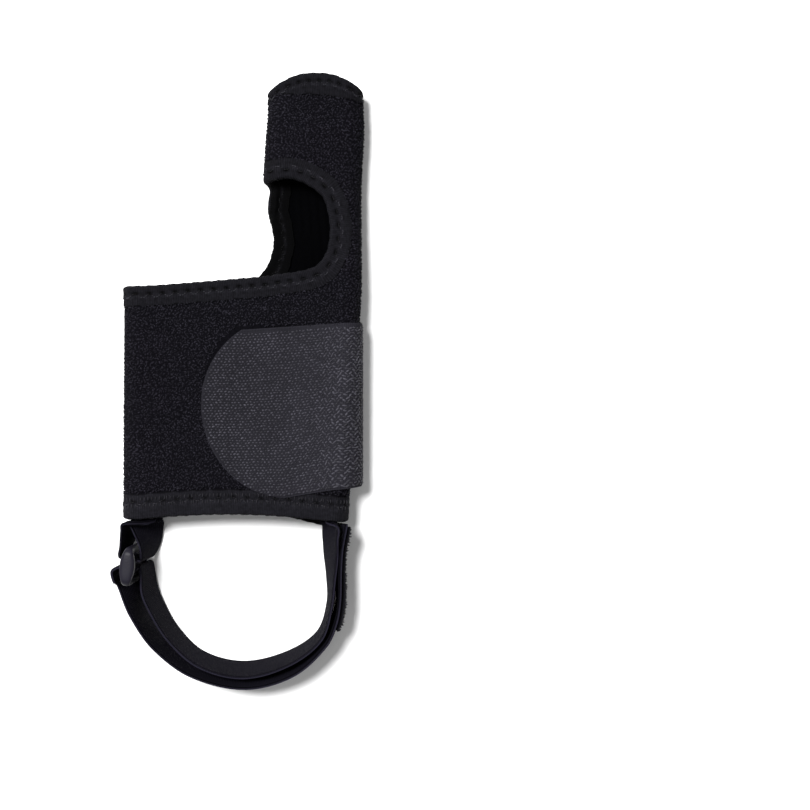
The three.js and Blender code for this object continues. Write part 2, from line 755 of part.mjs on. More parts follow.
// Moulded ring: a rounded frame with a slot as tall as the webbing
function strapRing() {
  const frame = (shape, width, height, radius) => {
    const [x, y] = [width / 2, height / 2];
    shape.moveTo(radius - x, -y);
    shape.lineTo(x - radius, -y);
    shape.absarc(x - radius, radius - y, radius, -Math.PI / 2, 0, false);
    shape.lineTo(x, y - radius);
    shape.absarc(x - radius, y - radius, radius, 0, Math.PI / 2, false);
    shape.lineTo(radius - x, y);
    shape.absarc(radius - x, y - radius, radius, Math.PI / 2, Math.PI, false);
    shape.lineTo(-x, radius - y);
    shape.absarc(radius - x, radius - y, radius, Math.PI, 1.5 * Math.PI, false);
    return shape;
  };
  const outline = frame(
    new THREE.Shape(), ringWidth - 2 * ringEdge, ringHeight - 2 * ringEdge, ringCorner - ringEdge,
  );
  const slotWidth = 2 * (slotHalf + ringEdge);
  const slotHeight = ringHeight - 2 * (ringStock - ringEdge);
  outline.holes.push(frame(new THREE.Path(), slotWidth, slotHeight, slotCorner + ringEdge));
  const geometry = new THREE.ExtrudeGeometry(outline, {
    depth: ringDepth - 2 * ringEdge,
    bevelThickness: ringEdge,
    bevelSize: ringEdge,
    bevelSegments: 1,
    curveSegments: 3,
  });
  return geometry.translate(0, 0, ringEdge - ringDepth / 2);
}

const plush = { color: 0x1b1a1f, roughness: 1 };
const knitTape = { color: 0x232228, roughness: 0.95 };
const hookTape = { color: 0x37363c, roughness: 0.85 };
const elastic = { color: 0x1a191e, roughness: 0.9 };
const plastic = { color: 0x2d2b34, roughness: 0.4 };

const group = new THREE.Group();

function add(name, geometry, finish) {
  const material = new THREE.MeshStandardMaterial({ metalness: 0, ...finish });
  const mesh = new THREE.Mesh(geometry, material);
  mesh.name = name;
  group.add(mesh);
  return mesh;
}

add("sleeve", sleeve(), plush);
add("toe_end_binding", binding(edgeRound(toeEdge, toeEnd, -1, toeReach), 1), knitTape);
const heelReach = () => bindingWidth - bindingRoll;
add("heel_edge_binding", binding(edgeRound(heelEdge, 0, 1, heelReach), 1), knitTape);
add("toe_web_binding", binding(openingRound(), 3), knitTape);
add("closure_flap", closureFlap(), hookTape);
add("heel_strap", webbing(heelStrapRows, { width: strapWidth, thickness: strapThickness }), elastic);
add("strap_end_patch", webbing(heelStrapRows, {
  width: patchWidth,
  thickness: patchThickness,
  shift: (strapThickness + patchThickness) / 2 + clearance,
  length: patchLength,
  trim: 1,
}), hookTape);
add("ring_tab", webbing(ringTabRows(), { width: strapWidth, thickness: tabThickness, across: 8 }), elastic);

const ring = add("strap_ring", strapRing(), plastic);
ring.position.copy(ringCentre);
ring.quaternion.setFromRotationMatrix(new THREE.Matrix4().makeBasis(
  ringAlong, ringRise, new THREE.Vector3().crossVectors(ringAlong, ringRise),
));

// Stands on its lowest point, with the origin at the middle of its footprint
const extent = new THREE.Box3().setFromObject(group);
const middle = extent.getCenter(new THREE.Vector3());
group.position.set(-middle.x, -middle.y, -extent.min.z);

export default group;
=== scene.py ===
import math

import bpy
import numpy as np
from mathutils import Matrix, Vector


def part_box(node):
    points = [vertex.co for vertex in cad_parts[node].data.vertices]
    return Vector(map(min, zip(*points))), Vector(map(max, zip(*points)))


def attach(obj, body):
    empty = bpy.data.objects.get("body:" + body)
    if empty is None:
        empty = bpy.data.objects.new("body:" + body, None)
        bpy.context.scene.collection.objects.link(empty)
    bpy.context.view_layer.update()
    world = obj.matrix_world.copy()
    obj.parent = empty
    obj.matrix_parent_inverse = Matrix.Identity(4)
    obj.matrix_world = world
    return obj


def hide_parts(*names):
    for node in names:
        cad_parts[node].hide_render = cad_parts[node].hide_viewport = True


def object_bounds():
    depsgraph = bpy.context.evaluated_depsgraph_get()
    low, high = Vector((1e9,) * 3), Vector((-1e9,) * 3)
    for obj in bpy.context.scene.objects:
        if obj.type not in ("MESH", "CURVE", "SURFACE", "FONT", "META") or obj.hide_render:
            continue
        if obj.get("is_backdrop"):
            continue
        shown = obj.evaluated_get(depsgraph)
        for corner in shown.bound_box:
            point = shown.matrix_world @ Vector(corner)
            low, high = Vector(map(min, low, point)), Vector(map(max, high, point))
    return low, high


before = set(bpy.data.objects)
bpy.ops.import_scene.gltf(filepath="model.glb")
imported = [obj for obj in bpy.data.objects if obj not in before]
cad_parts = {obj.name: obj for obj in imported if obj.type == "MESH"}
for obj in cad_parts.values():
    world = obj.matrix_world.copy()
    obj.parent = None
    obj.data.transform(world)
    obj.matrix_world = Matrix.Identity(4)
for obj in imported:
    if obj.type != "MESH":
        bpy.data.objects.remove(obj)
cad_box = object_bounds()

# Sizes in millimetres. X is 0 at the inner fold, Y at the heel edge.
foot_width, foot_length, foot_height, heel_taper = 104, 101, 19.5, 6
opening_length, bridge_width = 48.2, 12.6
toe_length, toe_width, toe_height, toe_dome, toe_bulge = 38.8, 41.7, 15, 7, 1.3
wall, fold_depth, crown, heel_swell = 2.4, 6, 0.8, 3.2
binding_width, web_binding_width, binding_thickness, binding_roll = 9, 8, 0.7, 1
flap_width, flap_middle, flap_reach, flap_radius = 72, 50, 70.3, 38.1
flap_back_reach, flap_thickness = 32, 1.1
strap_width, strap_thickness, heel_drop = 20, 1.5, 76
patch_length, patch_width, patch_thickness, tab_thickness = 46, 19, 1.2, 1.4
ring_width, ring_height, ring_stock, ring_depth, ring_corner = 17, 28.4, 3.4, 6, 3.4
ring_lean, ring_heading = math.radians(8), math.radians(-95.7)
clearance = 0.35

# Sizes that follow
opening_top = foot_length + opening_length
toe_end = opening_top + toe_length
binding_proud = clearance + binding_thickness
leg_outer = wall / 2 + binding_proud
leg_inner = wall / 2 + clearance
bite_width = toe_width - bridge_width
foot_full = (foot_height - wall) / 2
toe_full = (toe_height - wall) / 2
heel_reach = 1.25 * binding_width
web_reach = 1.15 * web_binding_width - binding_roll

METRES = 0.001
sleeve_low, sleeve_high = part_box("sleeve")
to_frame = np.array([
    sleeve_low.x / METRES + foot_width,
    sleeve_high.y / METRES - toe_end - toe_dome,
    0.0,
])
chance = np.random.default_rng(7)

# Along from the outer fold to the inner, and rise as a share of heel_swell
heel_back_edge = [(0, 0), (0.3, 0.7), (0.6, 0.8), (0.75, 0.23), (0.88, -0.65), (0.94, -0.8), (1, 0)]

# Bite as a share of bite_width from the bridge outwards, and up as a share of opening_length
front_opening = [
    (0.783, 1.015), (0.625, 1.02), (0.388, 0.971), (0.158, 0.873), (0.065, 0.776), (0, 0.57),
    (0.031, 0.371), (0.11, 0.259), (0.25, 0.174), (0.505, 0.127), (0.852, 0.0975), (1.086, 0.077),
]
back_opening = [
    (0.883, 0.944), (0.9, 0.749), (0.842, 0.469), (0.9, 0.274), (0.99, 0.174), (1.13, 0.091),
    (1.457, 0.048),
]

# Up as above, and out as a share of the foot's width beyond the toe's
flare_up, flare_out = [0.03, 0.5, 0.75], [1, 0.13, 0]

# The strap's two layers: x as a share of foot_width, y of heel_drop, z of strap_width, then the
# lean's heading and the web's slope, in degrees: one, or its lower edge's and its upper's
strap_inner = [
    (-0.158, -0.047, 0.25, 0, 48, 100), (-0.153, -0.132, 0.22, 0, 62, 88),
    (-0.144, -0.237, 0, 0, 77), (-0.132, -0.368, 0, 0, 84), (-0.129, -0.526, 0, -3, 89),
    (-0.173, -0.703, 0, -45, 88), (-0.308, -0.825, 0, -68, 83.5),
    (-0.497, -0.882, 0, -90, 79.6), (-0.673, -0.82, 0, -115, 79),
    (-0.788, -0.666, 0, -138, 76.5), (-0.856, -0.493, 0.02, -155, 74.2),
    (-0.874, -0.414, 0.04, -165, 73), (-0.883, -0.345, 0.02, -174, 75.5),
    (-0.894, -0.285, 0.02, -180, 77),
]
strap_outer = [
    (-0.935, -0.385, 0, -168, 61),
    (-0.928, -0.546, 0, -152, 74.5), (-0.846, -0.714, 0, -137, 75.5),
    (-0.702, -0.872, 0, -115, 78), (-0.49, -0.946, 0, -90, 80),
    (-0.298, -0.888, 0, -68, 83), (-0.159, -0.737, 0, -42, 86.5),
    (-0.108, -0.612, 0, -20, 89), (-0.086, -0.487, 0, -5, 91),
    (-0.1125, -0.316, 0, 0, 82), (-0.123, -0.197, 0, 0, 77),
    (-0.104, -0.121, 0.06, 8, 80), (-0.0965, -0.082, 0.1, 20, 80),
    (-0.092, -0.052, 0.11, 22, 80),
]

# The strap through the ring: towards its bar as a share of the slot's half width, and off it as
# a share of its place on the bar's outer face
strap_through_ring = [(0.36, -0.55), (0.235, 0.22), (0.196, 1.07), (0.627, 1.73), (1.57, 1.3)]

# The ring's tab to and from the ring, as the strap, and through it: towards its place beside its
# own bar as a share of the way from the slot's middle, and off it as a share of its place beside
# the ring's face
tab_to_ring = [
    (-0.842, -0.046, 0.1, 180, 38, 52), (-0.845, -0.076, 0.06, 180, 44, 56),
    (-0.857, -0.168, 0.02, 178, 64, 66), (-0.882, -0.236, 0.06, 175, 75, 76),
]
tab_from_ring = [
    (-0.977, -0.172, 0.03, 176, 77, 79), (-0.955, -0.12, 0.03, 178, 69, 74),
    (-0.944, -0.077, 0.09, 180, 62, 76), (-0.933, -0.038, 0.13, 180, 52, 84),
]
tab_through_ring = [(0.74, -1.05), (0.8, -0.5), (0.86, 0.5), (1, 1)]
ring_place = (-0.966, -0.277)

# Looks of the cloth, in millimetres or shares. Rungs are the heel tape's cross stitches.
ground_rise, ground_puff, ground_margin, cut_margin = 0.15, 0.55, 0.8, 1.2
loop_rise, loop_pitch, loop_rows, loop_stray = 0.6, 1.18, 0.87, 0.38
crosswise, lit_loops = 0.35, 0.3
crease_depth, crease_pitch = 0.5, 7.5
hole_depth, tape_puff, raw_thinning, raw_width = 0.42, 0.22, 0.25, 0.6
stitch_radius, stitch_bow, stitch_sunk, stitch_span = 0.25, 0.2, 0.08, (0.18, 0.82)
rung_pitch, rung_proud, rung_stray, fold_margin = 1.6, 0.2, 1.5, 4.5
hook_pitch_round, hook_pitch_up, hook_margin, first_hook = 1.6, 1.16, 1.1, (2.4, 1.3)
patch_hook_pitch, hook_root, highlight_fade = 1.25, 0.1, 8

# Fineness of the meshes, in steps or rows
foot_rows, opening_rows, toe_rows, flap_rows, fold_rows = 64, 32, 26, 90, 26
leg_steps, roll_steps, path_stride = 15, 9, 4


def smooth(x, low, high):
    t = np.clip((x - low) / (high - low), 0, 1)
    return t * t * (3 - 2 * t)


def mix(a, b, share):
    return a + (b - a) * share


def unit(vectors):
    return vectors / (np.linalg.norm(vectors, axis=-1, keepdims=True) + 1e-12)


def read(keys, values, at):
    """Smooth reading of a table's column at places between its keys."""
    keys, values = np.asarray(keys, float), np.asarray(values, float)
    last = len(keys) - 1
    order = np.arange(last + 1)
    before, after = np.maximum(order - 1, 0), np.minimum(order + 1, last)
    slopes = (values[after] - values[before]) / (keys[after] - keys[before])
    i = np.clip(np.searchsorted(keys, at) - 1, 0, last - 1)
    span = keys[i + 1] - keys[i]
    t = (at - keys[i]) / span
    rise = values[i + 1] - values[i]
    leave, arrive = slopes[i] * span, slopes[i + 1] * span
    square, cubic = 3 * rise - 2 * leave - arrive, leave + arrive - 2 * rise
    return values[i] + t * (leave + t * (square + t * cubic))


def waver(at, length, seed):
    """Gentle unevenness between -1 and 1, along millimetres."""
    waves = [(0.5, 1, 1.7), (0.3, 2.3, 3.57), (0.2, 4.55, 5.61)]
    turn = 2 * math.pi * at / length
    return sum(high * np.sin(often * turn + late * seed) for high, often, late in waves)


# Surface of the sleeve

def inner_fold(y):
    taper = -heel_taper * np.clip(1 - y / foot_length, 0, 2)
    bulge_at = opening_top + toe_length * 0.6
    return taper + toe_bulge * np.exp(-(((y - bulge_at) / (toe_length * 0.45)) ** 2))


def outer_fold(y):
    out = np.interp((y - foot_length) / opening_length, flare_up, flare_out)
    narrowing = 0.05 * toe_width * smooth(y, opening_top, toe_end)
    return narrowing - toe_width - (foot_width - toe_width) * out


def half_height(y):
    return mix(foot_full, toe_full, smooth(y, foot_length - 20, opening_top + 5))


def centre_height(y):
    seat = mix(flap_thickness + clearance, binding_proud, smooth(y, foot_length, opening_top))
    return seat + wall / 2 + half_height(y)


def quarter(y):
    high = half_height(y)
    cross = np.sqrt((3 * fold_depth + high) * (fold_depth + 3 * high))
    return (math.pi / 4) * (3 * (fold_depth + high) - cross)


def flat_width(y):
    return inner_fold(y) - outer_fold(y) - wall - 2 * fold_depth


def half_girth(y):
    return 2 * quarter(y) + flat_width(y)


def on_sleeve(u, y, offset=0.0):
    """Points u round from the inner fold, + over the front, and offset from the wall's middle."""
    u, y, offset = np.broadcast_arrays(
        np.asarray(u, float), np.asarray(y, float), np.asarray(offset, float)
    )
    half, turn, flat, high = half_girth(y), quarter(y), flat_width(y), half_height(y)
    past_fold = np.abs(u) > half
    reach = np.where(past_fold, 2 * half - np.abs(u), np.abs(u))
    side = np.where((u < 0) ^ past_fold, -1.0, 1.0)
    on_flat = np.clip(reach - turn, 0, flat)
    cap = np.where(reach < turn, 1.0, -1.0)
    past = np.where(reach < turn, reach, np.maximum(half - reach, 0))
    angle = np.minimum(past / turn, 1) * math.pi / 2
    arch = np.where(side > 0, crown * np.sin(math.pi * on_flat / flat) ** 2, 0)
    lean = [cap * np.cos(angle) / fold_depth, 0 * y, side * np.sin(angle) / high]
    normal = unit(np.stack(lean, -1))
    right = inner_fold(y) - wall / 2 - fold_depth
    point = np.stack([
        right - on_flat + cap * fold_depth * np.cos(angle),
        y,
        centre_height(y) + side * (high * np.sin(angle) + arch),
    ], -1)
    return point + normal * offset[..., None]


def normal_at(u, y):
    return unit(on_sleeve(u, y, 1.0) - on_sleeve(u, y))


def round_to(x, y):
    turn = quarter(y)
    inset = inner_fold(y) - wall / 2 - x
    far = x - outer_fold(y) - wall / 2
    near_arc = turn * np.arccos(np.clip(1 - inset / fold_depth, -1, 1)) / (math.pi / 2)
    far_arc = turn * np.arccos(np.clip(1 - far / fold_depth, -1, 1)) / (math.pi / 2)
    on_front = np.where(far < fold_depth, half_girth(y) - far_arc, turn + inset - fold_depth)
    return np.where(inset < fold_depth, near_arc, on_front)


def share_across(u, y):
    x = on_sleeve(u, y)[..., 0]
    return np.clip((x - outer_fold(y) - wall / 2) / (inner_fold(y) - outer_fold(y) - wall), 0, 1)


def heel_edge(u):
    share = share_across(u, 0)
    front = np.sin(math.pi * share)
    back = read(*zip(*heel_back_edge), share)
    return mix(-0.4, -1.5, share) + heel_swell * np.where(np.asarray(u) >= 0, front, back)


def toe_edge(u):
    return toe_end + toe_dome * (1 - np.abs(2 * share_across(u, toe_end) - 1) ** 2.6)


def spline(knots, steps):
    """Points along a smooth line through the knots."""
    knots = np.asarray(knots, float)
    last = len(knots) - 1
    at = np.linspace(0, last, last * steps + 1)
    i = np.minimum(at.astype(int), last - 1)
    t = (at - i)[:, None]
    start, end = knots[i], knots[i + 1]
    leave = (end - knots[np.maximum(i - 1, 0)]) / 2
    arrive = (knots[np.minimum(i + 2, last)] - start) / 2
    cubic = 2 * start - 2 * end + leave + arrive
    square = 3 * end - 3 * start - 2 * leave - arrive
    return ((cubic * t + square) * t + leave) * t + start


def lengths_to(line):
    """The length along a line up to each of its points."""
    return np.concatenate([[0], np.cumsum(np.linalg.norm(np.diff(line, axis=0), axis=1))])


def evenly(line, spacing):
    """The line's points at an even spacing."""
    run = lengths_to(line)
    at = np.linspace(0, run[-1], max(2, int(round(run[-1] / spacing)) + 1))
    return np.stack([np.interp(at, run, column) for column in line.T], -1)


def opening_path(rows, side):
    knots = [(half_girth(opening_top), opening_top)]
    for bite, up in rows:
        y = foot_length + up * opening_length
        knots.append((round_to(-bridge_width - bite * bite_width, y), y))
    half = half_girth(foot_length)
    knots += [(0.85 * half, foot_length), (half, foot_length)]
    path = evenly(spline(knots, steps=24), spacing=0.7)
    return np.stack([side * np.minimum(path[:, 0], half_girth(path[:, 1])), path[:, 1]], -1)


# Meshes

def grid_faces(rows, cols, loop_rows=False, loop_cols=False):
    r = np.arange(rows if loop_rows else rows - 1)[:, None]
    c = np.arange(cols if loop_cols else cols - 1)
    corner = lambda a, b: (a % rows) * cols + (b % cols)
    four = [corner(r, c), corner(r, c + 1), corner(r + 1, c + 1), corner(r + 1, c)]
    return np.stack(four, -1).reshape(-1, 4)


def shell(outer, inner, loop_rows=False):
    """Points and faces of a closed sheet between two grids."""
    rows, cols = outer.shape[:2]
    size = rows * cols
    top = grid_faces(rows, cols, loop_rows)
    faces = [top, (top + size)[:, ::-1]]
    index = np.arange(size).reshape(rows, cols)
    edges = [index[:, 0], index[::-1, -1]]
    if loop_rows:
        edges = [np.append(edge, edge[0]) for edge in edges]
    else:
        edges = [index[0, ::-1], index[-1], *edges]
    for edge in edges:
        faces.append(np.stack([edge[1:], edge[:-1], edge[:-1] + size, edge[1:] + size], -1))
    points = np.concatenate([outer.reshape(-1, 3), inner.reshape(-1, 3)])
    faces = np.concatenate(faces)
    a, b, c, d = (points[corner] for corner in faces.T)
    volume = np.sum(a * np.cross(b, c)) + np.sum(a * np.cross(c, d))
    return points, faces if volume > 0 else faces[:, ::-1]


def for_points(values, count):
    return values if len(values) == count else np.concatenate([values, values])


def add_object(name, data):
    obj = bpy.data.objects.new(name, data)
    bpy.context.scene.collection.objects.link(obj)
    return obj


def piece(name, points, faces, materials, uv=None, shade=None, second=None):
    """
    An object of four-cornered faces. For each point, uv is in millimetres and shade darkens it,
    or brightens it below 0. Both may be given for one side of a sheet, and serve the other too.
    second marks the faces of the second material.
    """
    points = points.reshape(-1, 3).copy()
    points[:, 2] = np.maximum(points[:, 2], 0)
    mesh = bpy.data.meshes.new(name)
    mesh.vertices.add(len(points))
    mesh.vertices.foreach_set("co", ((points + to_frame) * METRES).ravel())
    mesh.loops.add(faces.size)
    mesh.loops.foreach_set("vertex_index", faces.ravel().astype(np.int32))
    mesh.polygons.add(len(faces))
    mesh.polygons.foreach_set("loop_start", np.arange(len(faces), dtype=np.int32) * 4)
    for material in materials:
        mesh.materials.append(material)
    if second is not None:
        mesh.polygons.foreach_set("material_index", second.astype(np.int32))
    mesh.update(calc_edges=True)
    mesh.polygons.foreach_set("use_smooth", np.ones(len(faces), dtype=bool))
    if uv is not None:
        layer = mesh.uv_layers.new(name="cloth")
        uv = for_points(uv.reshape(-1, 2), len(points))
        layer.data.foreach_set("uv", uv[faces.ravel()].ravel().astype(np.float32))
    if shade is not None:
        layer = mesh.attributes.new("shade", "FLOAT", "POINT")
        layer.data.foreach_set("value", for_points(shade.ravel(), len(points)).astype(np.float32))
    mesh.validate()
    obj = add_object(name, mesh)
    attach(obj, "root")
    return obj


def small_forms(name, points, material, shade, loop_cols=False):
    """Many small forms in one object, each a grid of points with its own shade."""
    count, rows, cols = points.shape[:3]
    one = grid_faces(rows, cols, loop_cols=loop_cols)
    faces = (one[None] + rows * cols * np.arange(count)[:, None, None]).reshape(-1, 4)
    return piece(name, points, faces, [material], shade=np.repeat(shade, rows * cols))


# Materials

def wire(source, target):
    source.id_data.links.new(source, target)


def put(tree, kind, settings=None, **inputs):
    """A new node with its inputs set or wired, by name or as n0, n1 by number."""
    node = tree.nodes.new(kind)
    for key, value in (settings or {}).items():
        setattr(node, key, value)
    for key, value in inputs.items():
        numbered = key[0] == "n" and key[1:].isdigit()
        socket = node.inputs[int(key[1:]) if numbered else key.replace("_", " ")]
        if isinstance(value, bpy.types.NodeSocket):
            wire(value, socket)
        else:
            socket.default_value = value
    return node


def calc(operation, a, b=0.0):
    """The outcome of a sum, in the tree of the socket among a and b."""
    tree = (a if isinstance(a, bpy.types.NodeSocket) else b).id_data
    return put(tree, "ShaderNodeMath", {"operation": operation}, n0=a, n1=b).outputs[0]


def plus(a, b):
    return calc("ADD", a, b)


def times(a, b):
    return calc("MULTIPLY", a, b)


def new_material(name, **settings):
    """A material, its nodes and its shader, with the shader's inputs set."""
    material = bpy.data.materials.new(name)
    material.use_nodes = True
    shader = material.node_tree.nodes["Principled BSDF"]
    for key, value in settings.items():
        shader.inputs[key.replace("_", " ")].default_value = value
    return material, material.node_tree, shader


def fibre_group():
    """Uneven dye and short fibres, for every cloth."""
    tree = bpy.data.node_groups.new("cloth fibres", "ShaderNodeTree")
    colour, number = "NodeSocketColor", "NodeSocketFloat"
    for label, kind, value in [
        ("Colour", colour, (0.02, 0.02, 0.02, 1)), ("Fleck", number, 0.5), ("Size", number, 1.0),
    ]:
        tree.interface.new_socket(label, in_out="INPUT", socket_type=kind).default_value = value
    for label, kind in (("Colour", colour), ("Height", number)):
        tree.interface.new_socket(label, in_out="OUTPUT", socket_type=kind)
    given, made = tree.nodes.new("NodeGroupInput"), tree.nodes.new("NodeGroupOutput")
    where = tree.nodes.new("ShaderNodeTexCoord").outputs["Object"]
    scale = calc("DIVIDE", 1000.0, given.outputs["Size"])
    fine = put(tree, "ShaderNodeTexNoise", Vector=where, Scale=scale, Detail=3.0, Roughness=0.65)
    broad = put(tree, "ShaderNodeTexNoise", Vector=where, Scale=70.0, Detail=3.0)
    fleck = times(calc("SUBTRACT", fine.outputs[0], 0.5), given.outputs["Fleck"])
    patchy = times(calc("SUBTRACT", broad.outputs[0], 0.5), 0.5)
    level = plus(plus(times(fleck, 2.0), patchy), 1.0)
    tint = put(tree, "ShaderNodeVectorMath", {"operation": "SCALE"}, n0=given.outputs["Colour"])
    wire(calc("MAXIMUM", level, 0.15), tint.inputs["Scale"])
    wire(tint.outputs[0], made.inputs["Colour"])
    wire(fine.outputs[0], made.inputs["Height"])
    return tree


fibres = fibre_group()


def cloth(name, colour, fleck=0.5, size=0.5, roughness=0.9, specular=0.04, relief=0.15,
          pattern=None):
    """A cloth's material. pattern(along, across) gives its weave's height and brightness."""
    material, tree, shader = new_material(name, Roughness=roughness, Specular_IOR_Level=specular)
    settings = {"node_tree": fibres}
    group = put(tree, "ShaderNodeGroup", settings, Colour=(*colour, 1), Fleck=fleck, Size=size)
    shade = put(tree, "ShaderNodeAttribute", {"attribute_name": "shade"}).outputs["Fac"]
    height, lit = times(group.outputs["Height"], relief), calc("SUBTRACT", 1.0, shade)
    if pattern:
        mapped = put(tree, "ShaderNodeUVMap", {"uv_map": "cloth"}).outputs[0]
        uv = put(tree, "ShaderNodeSeparateXYZ", Vector=mapped)
        rise, level = pattern(uv.outputs[0], uv.outputs[1])
        height, lit = plus(height, rise), times(lit, level)
    tint = put(tree, "ShaderNodeVectorMath", {"operation": "SCALE"}, n0=group.outputs["Colour"])
    wire(lit, tint.inputs["Scale"])
    wire(tint.outputs[0], shader.inputs["Base Color"])
    bump = put(tree, "ShaderNodeBump", Strength=1.0, Distance=METRES, Height=height)
    wire(bump.outputs[0], shader.inputs["Normal"])
    return material


def ridges(at, pitch):
    """A wave from 0 to 1 across threads of that pitch, in millimetres."""
    wave = calc("SINE", times(at, 2 * math.pi / pitch))
    return plus(times(wave, 0.5), 0.5)


def knit_pattern(along, across):
    wales = ridges(along, 0.75)
    courses = ridges(plus(across, times(wales, 0.2)), 0.55)
    height = plus(times(wales, 0.05), times(courses, 0.05))
    return height, plus(times(times(wales, courses), 0.9), 0.6)


def elastic_pattern(along, across):
    ribs = ridges(across, 1.15)
    picks = ridges(along, 0.7)
    height = plus(times(ribs, 0.16), times(picks, 0.07))
    return height, plus(times(ribs, 0.9), 0.55)


def tape_pattern(along, across):
    warp = ridges(across, 0.9)
    weft = ridges(along, 0.7)
    height = plus(times(warp, 0.06), times(weft, 0.06))
    return height, plus(times(times(warp, weft), 0.3), 0.85)


# The loops are coloured lighter than the plush's ground: painted sheen on the loops and painted
# shade down between them
plush = cloth("plush loops", (0.0093, 0.0087, 0.012), fleck=0.9, size=0.6, relief=0.5,
              specular=0.05)
plush_ground = cloth("plush ground", (0.0026, 0.0024, 0.0035), fleck=0.9, size=0.9, relief=0.9,
                     specular=0.02)
lining = cloth("lining", (0.0008, 0.0008, 0.001), fleck=0.4, size=1.2, relief=0.1, specular=0.0)
knit = cloth("knit tape", (0.0056, 0.0054, 0.007), fleck=0.9, size=1.3, relief=0.25,
             pattern=knit_pattern)
thread = cloth("sewing thread", (0.0105, 0.0102, 0.0125), fleck=0.3, specular=0.1, roughness=0.6)
hook_ground = cloth("hook tape", (0.012, 0.0115, 0.0148), size=0.7, relief=0.1,
                    pattern=tape_pattern)
hook_tuft = cloth("hooks", (0.0295, 0.0284, 0.0355), specular=0.12, roughness=0.55)
elastic = cloth("elastic", (0.0047, 0.0043, 0.0072), relief=0.06, specular=0.03,
                pattern=elastic_pattern)
patch_ground = cloth("hook patch", (0.0035, 0.0034, 0.005), relief=0.2)
patch_tuft = cloth("patch hooks", (0.011, 0.011, 0.015), fleck=0.4, specular=0.3, roughness=0.6)


def plastic():
    material, tree, shader = new_material(
        "ring plastic", Base_Color=(0.0085, 0.0078, 0.0125, 1), Specular_IOR_Level=0.09)
    where = tree.nodes.new("ShaderNodeTexCoord").outputs["Object"]
    grain = put(tree, "ShaderNodeTexNoise", Vector=where, Scale=1400.0, Detail=2.0)
    rubbed = put(tree, "ShaderNodeTexNoise", Vector=where, Scale=160.0, Detail=4.0)
    wire(plus(times(rubbed.outputs[0], 0.25), 0.3), shader.inputs["Roughness"])
    bump = put(tree, "ShaderNodeBump", Strength=0.5, Distance=METRES * 0.1, Height=grain.outputs[0])
    wire(bump.outputs[0], shader.inputs["Normal"])
    return material


# Sleeve

def around(y, spacing):
    """Places round the whole sleeve, denser at its folds."""
    turn, flat = quarter(y), flat_width(y)
    folds, flats = int(2 * turn / spacing) + 2, int(flat / spacing) + 2
    fold = np.linspace(0, 1, folds // 2, endpoint=False)
    one = np.concatenate([fold, 1 + np.linspace(0, 1, flats, endpoint=False), 2 + fold])
    return np.concatenate([one, 3 + one])


def place_round(station, y):
    """The place round the sleeve at y of a station from around()."""
    turn, flat = quarter(y), flat_width(y)
    part = np.mod(station, 3)
    past_turn = np.where(part < 2, turn + (part - 1) * flat, turn + flat + (part - 2) * turn)
    on = np.where(part < 1, part * turn, past_turn)
    u = on + np.where(station >= 3, half_girth(y), 0)
    return np.where(u > half_girth(y), u - 2 * half_girth(y), u)


front_path = opening_path(front_opening, 1)
back_path = opening_path(back_opening, -1)
web_path = np.concatenate([front_path, back_path[1:-1][::-1]])


def along_opening():
    """The opening's places with the way into the sleeve from each, as steps round and up."""
    u, y = web_path.T
    points = on_sleeve(u, y)
    normal = normal_at(u, y)
    ahead = np.roll(points, -path_stride, axis=0) - np.roll(points, path_stride, axis=0)
    inwards = np.cross(normal, unit(ahead - normal * np.sum(ahead * normal, axis=1, keepdims=True)))
    level = np.cross(normal, [0, 1, 0])
    return u, y, np.sum(level * inwards, axis=1), inwards[:, 1]


web_edge = web_u, web_y, web_round, web_up = along_opening()


def inside(line, x, y):
    """Which places lie inside a closed line."""
    hit = np.zeros(x.shape, bool)
    for (ax, ay), (bx, by) in zip(line, np.roll(line, -1, axis=0)):
        if ay != by:
            hit ^= ((ay > y) != (by > y)) & (x < (bx - ax) * (y - ay) / (by - ay) + ax)
    return hit


def in_opening(u, y, margin):
    """Which places lie in the toes' opening, or within a margin of it."""
    found, far = np.zeros(np.shape(u), bool), 400
    for side in (1, -1):
        mine = (web_u > 0) == (side > 0)
        u_edge = np.abs(web_u[mine] + margin * web_round[mine])
        edge = np.stack([u_edge, web_y[mine] + margin * web_up[mine]], -1)
        if side < 0:
            edge = edge[::-1]
        ends = np.array([[far, edge[-1][1]], [far, edge[0][1]]])
        found |= ((u > 0) == (side > 0)) & inside(np.concatenate([edge, ends]), np.abs(u), y)
    return found


